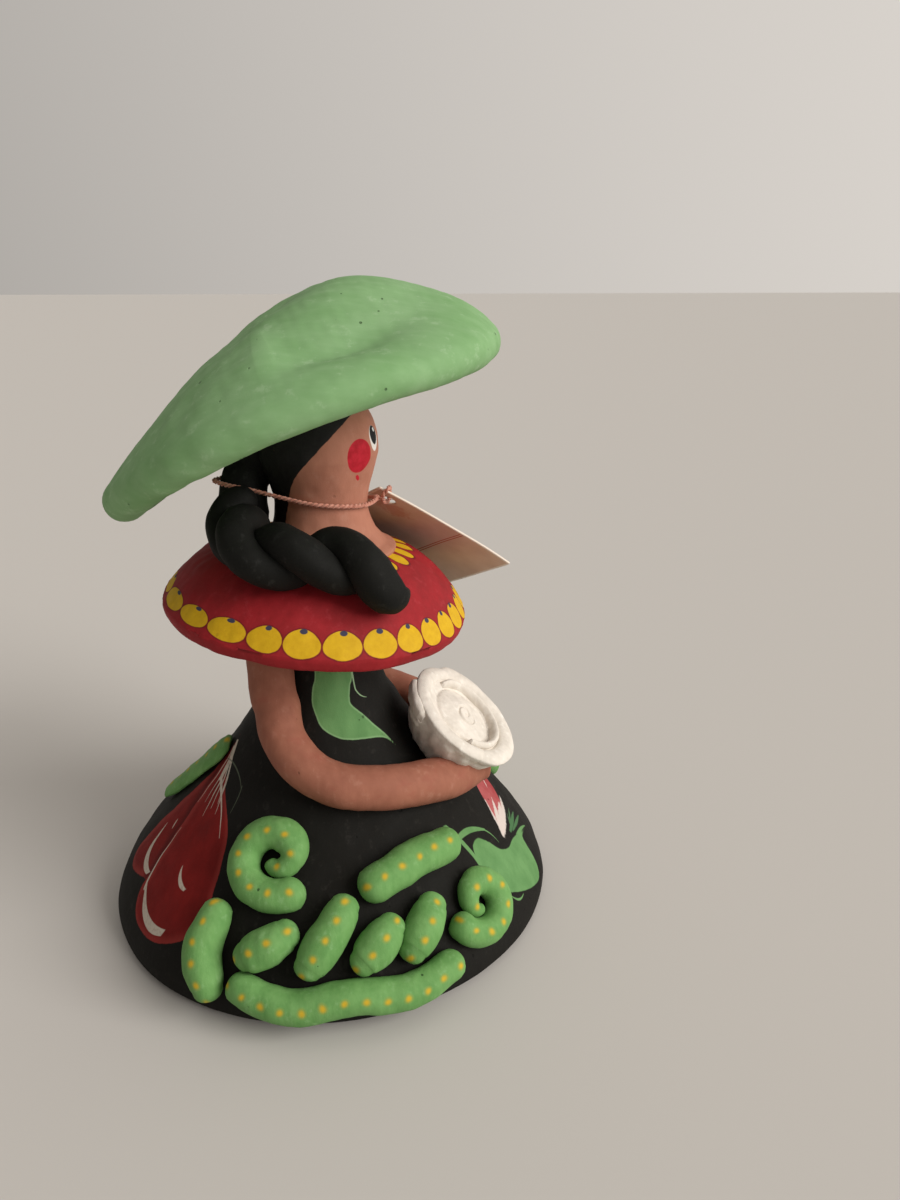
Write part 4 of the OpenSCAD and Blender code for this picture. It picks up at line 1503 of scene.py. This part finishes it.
@dataclass
class Rose:
    """Rose of rolled clay: a wound bud in a bowl of petals with thick rolled rims."""

    radius: float = 15.6
    depth: float = 15.0
    heart_r: float = 12.2
    groove_pitch: float = 2.3
    groove_turn: float = 0.55
    furrow_r: float = 8.9
    furrow_at: float = 305.0
    centre: tuple[float, float, float] = (-4.5, -37.33, 52.8)
    turn: tuple[float, float, float] = (0.0, 40.0, 257.0)

    def placed(self, surface: Surface) -> Surface:
        """Moves a surface from the rose's own frame to the figure's."""
        surface.points = turned(surface.points, self.turn) + np.array(self.centre)
        return surface

    def bud(self) -> Surface:
        """The wound heart: a mound in a shallow bowl, cut by a spiral groove, on a tapering stalk.

        Its height is a low dome less a groove where radius and angle lie on one spiral, and less
        a round furrow that is deepest on one side.
        """
        a = (np.arange(240) * 2 * np.pi / 240)[None]
        r_top = np.linspace(0.15, self.heart_r, 120)[:, None]
        phase = r_top / self.groove_pitch - a / (2 * np.pi) + self.groove_turn
        off = np.abs(phase - np.round(phase))
        groove = np.exp(-((off / 0.13) ** 2)) * ease(r_top, 0.2, 0.9) * (1 - ease(r_top, 3.0, 4.2))
        near = np.exp(-((a - np.radians(self.furrow_at)) / 0.42) ** 2)
        furrow = np.exp(-(((r_top - self.furrow_r) / 0.5) ** 2)) * (0.45 + 0.9 * near)
        bulge = 2.0 * np.exp(-(((r_top * np.cos(a) + 2.2) / 6.8) ** 2) - ((r_top * np.sin(a) - 0.4) / 6.4) ** 2)
        z_top = -2.1 + bulge - 0.55 * groove - 0.8 * furrow + 0.9 * ease(r_top, 9, self.heart_r)
        side = spline([(12.3, -1.5), (12.1, -3.4), (9.6, -8.5), (6.4, -12), (4.6, -15)], 10)
        r = np.vstack([r_top * np.ones_like(a), side[:, :1] * np.ones_like(a)])
        z = np.vstack([z_top * np.ones_like(a), side[:, 1:] + 0 * a])
        angle = np.repeat(a, len(r), 0)
        made = Surface(np.stack([r * np.cos(angle), r * np.sin(angle), z], -1))
        return self.placed(made.rough(0.2, 6.5, 61).rough(0.05, 1.6, 62))

    def petal(self, petal: Petal) -> Surface:
        """A petal: a wall round part of the rose with a rolled rim, thinner at both ends.

        Its cross-section is a closed curve of (radius, height) that is turned through the angle.

        Args:
            petal: its sizes.
        Returns:
            Its surface.
        """
        r_in, r_out, top, roll = petal.inner, petal.outer, petal.top, petal.roll
        foot = -petal.foot * self.depth
        t = np.linspace(0, 1, 150)[:, None]
        shape = [
            (0.6 * r_out, foot), (0.78 * r_out, foot * 0.72), (r_out * 0.93, foot * 0.42),
            (r_out * 0.985, top - 2.6), (r_out + roll * 0.7, top - 1.3), (r_out + roll * 0.8, top - 0.2),
            (mix(r_in, r_out, 0.62) + roll * 0.3, top + 0.55), (mix(r_in, r_out, 0.2), top + 0.1),
            (r_in, top - 1.2), (r_in, top - 4.5), (0.84 * r_in, foot * 0.72), (0.66 * r_in, foot),
        ]
        ring = spline(shape, 8, closed=True)
        end = ease(t, 0, 0.1) * (1 - ease(t, 0.9, 1))
        thin = mix(0.45, 1, end)
        mean = 0.5 * (ring[:, 0] + np.interp(ring[:, 1], [foot, top], [0.66 * r_in, r_in]))
        r = mean + (ring[:, 0] - mean) * thin
        drop = (1 - end) * 0.6 * ease(ring[:, 1], foot, top)
        a = np.radians(petal.start + petal.angle * t) + 0 * r
        z = ring[:, 1] - drop
        wall = np.interp(ring[:, 1], [foot, top], [0.72 * r_in, r_in])
        outside = np.clip((ring[:, 0] / wall - 1.06) * 8, 0, 1)
        below = 1 - ease(ring[:, 1], top - 3.5, top - 1.2)
        made = Surface(np.stack([r * np.cos(a), r * np.sin(a), z], -1))
        folds = np.stack([3.2 * a * r_out / 3, 0.32 * z, 0.4 * z], -1)
        dent = (lumps(folds, 4.5, petal.seed + 7) - 0.35) * petal.crush * outside * below
        made.points = made.points + grid_normals(made.points, False, True) * dent[..., None]
        return self.placed(made.rough(0.22, 10, petal.seed).rough(0.06, 2.4, petal.seed + 1))

    def build(self) -> list[bpy.types.Object]:
        """Makes the bud and the petals."""
        r = self.radius
        bud_r, petal_t = 0.56 * r, 0.2 * r
        inner, middle = bud_r + 0.1, bud_r + petal_t
        petals = (
            ("rose_inner_rim", Petal(inner + 0.6, middle - 0.7, 296, 220, -0.2, 0.1, 63), ["rose_inner_petal"]),
            ("rose_rim_back", Petal(middle - 0.6, r - 0.2, 126, 192, -0.5, 0.4, 65, 0.45), ["rose_outer_petal_1"]),
            ("rose_rim_front", Petal(middle - 0.3, r, 303, 206, -0.4, 1.1, 67, 0.12), ["rose_outer_petal_2"]),
            ("rose_side_petal", Petal(r - 0.6, r + 1.0, 186, 50, -1.5, 0.4, 69, 0.3, 0.6), []),
        )
        made = [self.bud().build("rose_heart", "white_clay", nodes=["rose_bud"])]
        for name, petal, nodes in petals:
            made.append(self.petal(petal).build(name, "white_clay", nodes=nodes))
        return coat(made, WHITE_ROSE.make())


# ---------------------------------------------------------------------------
# Twine and tag


@dataclass(frozen=True)
class Fibre:
    """Twisted dyed fibre: soft, with fine lines along the ply and paler high places."""

    name: str
    base: Colour
    dark: Colour
    pale: Colour

    def make(self) -> bpy.types.Material:
        """Builds the material."""
        s = Shader(self.name)
        fine = s.noise(0.18, 3)
        patch = s.noise(1.6, 3)
        colour = s.paint(self.dark, self.base, s.ramp(patch, 0.35, 0.65))
        colour = s.paint(colour, self.pale, s.ramp(fine, 0.52, 0.75, 0, 0.55))
        return s.finish(colour, 0.85, fine * 0.12, 0.8, 0.2, 0.25)


@dataclass(frozen=True)
class Card:
    """Uncoated card: faint fibres, a thin double rule across it, a smudge near the hole and a pale painted highlight
    along its edges.
    """

    name: str
    base: Colour
    warm: Colour
    rule: Colour
    rule_at: float = 26.0
    rule_gap: float = 0.75

    def make(self) -> bpy.types.Material:
        """Builds the material."""
        s = Shader(self.name)
        x, y, side = s.split(s.attribute("sheet", vector=True))
        cloud = s.noise(6.0, 4)
        fibre = s.noise(0.4, 4)
        colour = s.paint(self.base, self.warm, s.ramp(cloud, 0.35, 0.7, 0, 0.8))
        wave = s.noise(9.0, 1) * 0.5 - 0.25
        off = abs(abs(x - self.rule_at + wave * 0.3) - self.rule_gap / 2)
        printed = s.edge(s.least(0.17 - off, -side), 0.06)
        smudge = s.spot(x - 8.5, y - 8, 5.5, 3.2) * 0.3 + s.noise(1.4, 4) * 2.2 - 1.25
        soft = s.edge(s.least(smudge, -side), 0.35)
        colour = s.paint(colour, self.rule, s.most(printed * 0.85, soft * 0.35))
        # Painted highlight: a pale band along every edge of the card, where its cut edge catches the light
        edge = s.least(x, y, CARD_SIZE[0] - x, CARD_SIZE[1] - y)
        colour = s.paint(colour, (0.84, 0.75, 0.66), s.edge(0.42 - edge + fibre * 0.3, 0.15) * 0.9)
        return s.finish(colour, 0.82, fibre * 0.05, 0.7, 0.2)


PINK_FIBRE = Fibre("pink_fibre", (0.60, 0.27, 0.2), (0.42, 0.15, 0.1), (0.78, 0.52, 0.42))
PLAIN_CARD = Card("plain_card", (0.66, 0.50, 0.40), (0.56, 0.40, 0.31), (0.42, 0.06, 0.035))


@dataclass
class Twine:
    """Two-ply twine round the neck and the roll of hair, knotted in front."""

    thick: float = 1.1
    ply_turn: float = 2.6
    head_z: float = 122.5
    knot_at: tuple[float, float, float] = (3.0, -14.5, 108.7)
    knot_scale: tuple[float, float, float] = (0.15, 0.13, 0.15)
    tails: tuple = (((0.2, -16.6, 109.6), 0.34), ((-0.6, -20.2, 109.0), 0.12), ((0.8, -15.2, 108.6), 0.2))
    route: tuple = (
        (3, -14.4, -13.7), (-4.5, -13, -13.6), (-10.2, -8.4, -12.7), (-12.6, -1, -11.6), (-11, 7, -10.2),
        (-8.6, 15, -8.8), (-7.2, 19.8, -8.2), (-2.6, 24, -8), (3.6, 20.8, -8.4), (6.8, 14, -9.4), (10.8, 6, -11.4),
        (12.4, -1.4, -13.8), (9.8, -8.6, -15.2),
    )

    def across(self, curve: Array) -> tuple[Array, Array]:
        """Two unit vectors across a closed curve, square to each other, at each of its points."""
        d = tangents(curve, closed=True)
        s = unit(np.cross(d, [0.1, 0.2, 1]))
        return s, np.cross(s, d)

    def tube(self, curve: Array, radius: Array, sides: int = 10) -> Surface:
        """A closed round cord: circles across a closed curve."""
        s, t = self.across(curve)
        a = np.arange(sides) * 2 * np.pi / sides
        ring = s[:, None] * np.cos(a)[:, None] + t[:, None] * np.sin(a)[:, None]
        return Surface(curve[:, None] + ring * np.reshape(radius, (-1, 1, 1)), wrap_rows=True)

    def plies(self, points: Array, spans: int) -> list[Surface]:
        """Two cords wound round one closed curve: the curve plus a circle that turns along it.

        Args:
            points: the closed curve's own points.
            spans: points made for each of its spans.
        Returns:
            Both cords.
        """
        curve = spline(points, spans, closed=True)
        s, t = self.across(curve)
        step = np.linalg.norm(np.roll(curve, -1, 0) - curve, axis=1)
        run = np.concatenate([[0], np.cumsum(step)[:-1]])
        turns = max(1, round(step.sum() / self.ply_turn))
        made = []
        for phase in (0.0, np.pi):
            a = (run / step.sum() * turns * 2 * np.pi + phase)[:, None]
            centre = curve + (s * np.cos(a) + t * np.sin(a)) * (self.thick * 0.235)
            made.append(self.tube(centre, np.full(len(curve), self.thick * 0.29)))
        return made

    def cord(self, points: Array, spans: int, name: str, node: str, body: str = "figure") -> list[bpy.types.Object]:
        """Makes both plies of a closed cord, of which the first stands for the CAD node.

        Args:
            points: the closed curve's own points.
            spans: points made for each of its spans.
            name: start of both pieces' names.
            node: the cord's CAD node.
            body: the CAD body that it rides on.
        Returns:
            Both pieces.
        """
        first, second = self.plies(points, spans)
        return [
            first.build(f"{name}_ply_a", "pink_twine", body=body, nodes=[node]),
            second.build(f"{name}_ply_b", "pink_twine", body=body),
        ]

    def tail(self, end: Sequence[float], thick: float, seed: int) -> Surface:
        """A loose end from the knot, which thins to a fine point."""
        start = np.array(self.knot_at)
        t = np.linspace(0, 1, 40)[:, None]
        bend = lumps(np.array([[seed * 3.1, 1, 2], [1, seed * 2.3, 3], [5, 1, seed * 1.7]]), 4, seed)
        curve = start + t * (np.array(end) - start) + bend * np.sin(np.pi * t) * 0.6
        radius = thick * (1 - 0.85 * t[:, 0] ** 1.5)
        up = np.repeat(np.array([[0.2, 0.1, 1.0]]), 40, 0)
        up = unit(up - tangents(curve) * (up * tangents(curve)).sum(-1, keepdims=True))
        return sweep(curve, up, radius, radius, sides=8)

    def build(self) -> list[bpy.types.Object]:
        """Makes the twine and the knot with its loose ends."""
        base = np.asarray(self.route, float) + np.array([0, 0, self.head_z])
        made = self.cord(base, 40, "twine", "twine")
        t = np.arange(24) * 2 * np.pi / 24
        trefoil = np.stack([np.sin(t) + 2 * np.sin(2 * t), np.cos(t) - 2 * np.cos(2 * t), -1.6 * np.sin(3 * t)], -1)
        knot = np.array(self.knot_at) + trefoil * np.array(self.knot_scale)
        made += self.cord(knot, 12, "knot", "knot")
        for i, (end, thick) in enumerate(self.tails):
            made.append(self.tail(end, thick, 71 + i).build(f"twine_tail_{i + 1}", "pink_twine"))
        return coat(made, PINK_FIBRE.make())


@dataclass
class Tag:
    """Blank card tag that hangs in front, curled down along its length, on a loop of twine."""

    twine: Twine
    length: float = CARD_SIZE[0]
    width: float = CARD_SIZE[1]
    thick: float = 0.5
    hole_r: float = 2.0
    hole: tuple[float, float] = (5.0, 4.5)
    turn: tuple[float, float, float] = (-28.0, 31.0, -72.0)
    off: tuple[float, float, float] = (0.6, -0.8, 2.2)
    curl: float = 0.0022
    curl_from: float = 9.0
    loop: tuple = (
        (1.9, 0.8, -1.2), (3.3, 2.8, -1.3), (4.7, 4.3, -0.4), (5, 4.6, 1), (3.8, 2.6, 1.8), (2.5, 0, 1.6),
        (1.6, -1.4, 0.3), (1.5, -0.6, -0.8),
    )

    def placed(self, p: Array) -> Array:
        """Moves points from the tag's own frame to the figure's."""
        return turned(p, self.turn) + np.array(self.twine.knot_at) + np.array(self.off)

    def surface(self) -> Surface:
        """Card between its hole and its edge: rays from the hole to a rectangle, bent by a parabola.

        The rows go out over the top, round the edge, back below and up through the hole.
        """
        count = 240
        u = np.arange(count) / count * 2 * (self.length + self.width)
        corners = np.cumsum([0, self.length, self.width, self.length, self.width])
        x = np.interp(u, corners, [0, 1, 1, 0, 0]) * self.length
        y = np.interp(u, corners, [0, 0, 1, 1, 0]) * self.width
        rim = np.stack([x, y], -1)
        centre = np.array(self.hole)
        inner = centre + unit(rim - centre) * self.hole_r
        t = np.linspace(0, 1, 60)[:, None, None]
        flat = mix(inner, rim, t)
        top = np.concatenate([flat, np.full((*flat.shape[:2], 1), self.thick)], -1)
        low = np.concatenate([flat, np.zeros((*flat.shape[:2], 1))], -1)
        p = np.vstack([top, low[::-1]])
        sheet = np.stack([p[..., 0], p[..., 1], np.sign(p[..., 2] - self.thick / 2)], -1)
        past = np.maximum(p[..., 0] - self.curl_from, 0)
        bow = -self.curl * past**2 * (1 + 0.35 * (p[..., 1] / self.width - 0.5))
        wave = 0.22 * lumps(np.stack([p[..., 0], p[..., 1], 0 * p[..., 0]], -1), 24, 81)
        p[..., 2] += bow + wave
        return Surface(self.placed(p), wrap_rows=True, fields={"sheet": sheet})

    def build(self) -> list[bpy.types.Object]:
        """Makes the card and its loop."""
        card = self.surface().build("tag_sheet", "tag_card", body="tag", nodes=["tag"])
        card.data.materials.append(PLAIN_CARD.make())
        made = self.twine.cord(self.placed(np.asarray(self.loop, float)), 12, "loop", "tag_loop", "tag")
        return [card, *coat(made, PINK_FIBRE.make())]


# ---------------------------------------------------------------------------
# Studio


@dataclass
class Studio:
    """Pale floor, soft key light from the front side, dim fill, and the camera."""

    eye: tuple[float, float, float] = (-216.8, -32.9, 162.7)
    pitch: float = 20.3
    roll: float = 0.15
    lens: float = 27.0
    film: float = 36.0
    bright_side: tuple[float, float, float] = (0.35, -0.9, 0.25)
    dim: Colour = (0.15, 0.142, 0.132)
    bright: Colour = (0.77, 0.725, 0.675)
    floor_size: float = 12.0
    floor_below: float = 0.0002
    floor_colour: Colour = (0.60, 0.575, 0.545)
    key_from: tuple[float, float, float] = (-0.44, -0.92, 0.54)
    key_power: float = 2.55
    key_angle: float = 38.0
    key_colour: Colour = (1.0, 0.97, 0.93)

    def floor(self) -> bpy.types.Object:
        """A plain pale floor far wider than the figure, its size and depth in metres."""
        bpy.ops.mesh.primitive_plane_add(size=self.floor_size, location=(0, 0, -self.floor_below))
        obj = bpy.context.object
        obj.name = "floor"
        s = Shader("pale_floor")
        obj.data.materials.append(s.finish(self.floor_colour, 0.9, specular=0.1))
        return obj

    def light(
        self, name: str, towards: Sequence[float], power: float, angle: float, colour: Colour
    ) -> bpy.types.Object:
        """A distant soft light.

        Args:
            name: its name.
            towards: direction from the figure to the light.
            power: its strength.
            angle: how wide it looks from the figure, in degrees.
            colour: its colour.
        Returns:
            The light.
        """
        data = bpy.data.lights.new(name, "SUN")
        data.angle = float(np.radians(angle))
        data.energy = power
        data.color = colour
        obj = bpy.data.objects.new(name, data)
        bpy.context.scene.collection.objects.link(obj)
        obj.rotation_euler = Vector(towards).to_track_quat("Z", "Y").to_euler()
        return obj

    def camera(self) -> bpy.types.Object:
        """The camera, level but for its pitch and a slight roll."""
        data = bpy.data.cameras.new("camera")
        data.sensor_fit = "VERTICAL"
        data.sensor_height = self.film
        data.lens = self.lens
        data.clip_start = 0.01
        obj = bpy.data.objects.new("camera", data)
        bpy.context.scene.collection.objects.link(obj)
        obj.location = Vector(self.eye) * MM
        pitch, roll = np.radians(self.pitch), np.radians(self.roll)
        ahead = np.array([np.cos(pitch), 0, -np.sin(pitch)])
        up = np.array([np.sin(pitch), 0, np.cos(pitch)])
        right = np.cross(ahead, up)
        up, right = up * np.cos(roll) + right * np.sin(roll), right * np.cos(roll) - up * np.sin(roll)
        matrix = np.eye(4)
        matrix[:3, 0], matrix[:3, 1], matrix[:3, 2] = right, up, -ahead
        obj.rotation_euler = Matrix(matrix.tolist()).to_euler()
        bpy.context.scene.camera = obj
        return obj

    def build(self) -> None:
        """Makes the floor, lights, camera and surroundings."""
        self.floor()
        self.camera()
        self.light("key", self.key_from, self.key_power, self.key_angle, self.key_colour)
        world = bpy.data.worlds.new("room")
        world.use_nodes = True
        s = Shader("room", world.node_tree)
        way = s.node("TexCoord", out="Generated")
        side = s.node("VectorMath", {"operation": "DOT_PRODUCT"}, {0: way, 1: self.bright_side}, "Value")
        colour = s.paint(self.dim, self.bright, s.ramp(side, -1, 1))
        s.close(s.node("Background", None, {"Color": colour}), "OutputWorld")
        bpy.context.scene.world = world
        bpy.context.scene.view_settings.view_transform = "Standard"


def main() -> None:
    """Builds the figurine and reports each piece."""
    logging.basicConfig(level=logging.INFO, format="%(name)s: %(message)s")
    dress = Dress()
    collar = Collar()
    twine = Twine()
    dress.build()
    collar.build()
    Head().build()
    Hat().build()
    for side in Side:
        Arm(dress, side).build()
    Hair(collar).build()
    Rose().build()
    Rolls(dress).build()
    twine.build()
    Tag(twine).build()
    Studio().build()


if __name__ == "__main__":
    main()
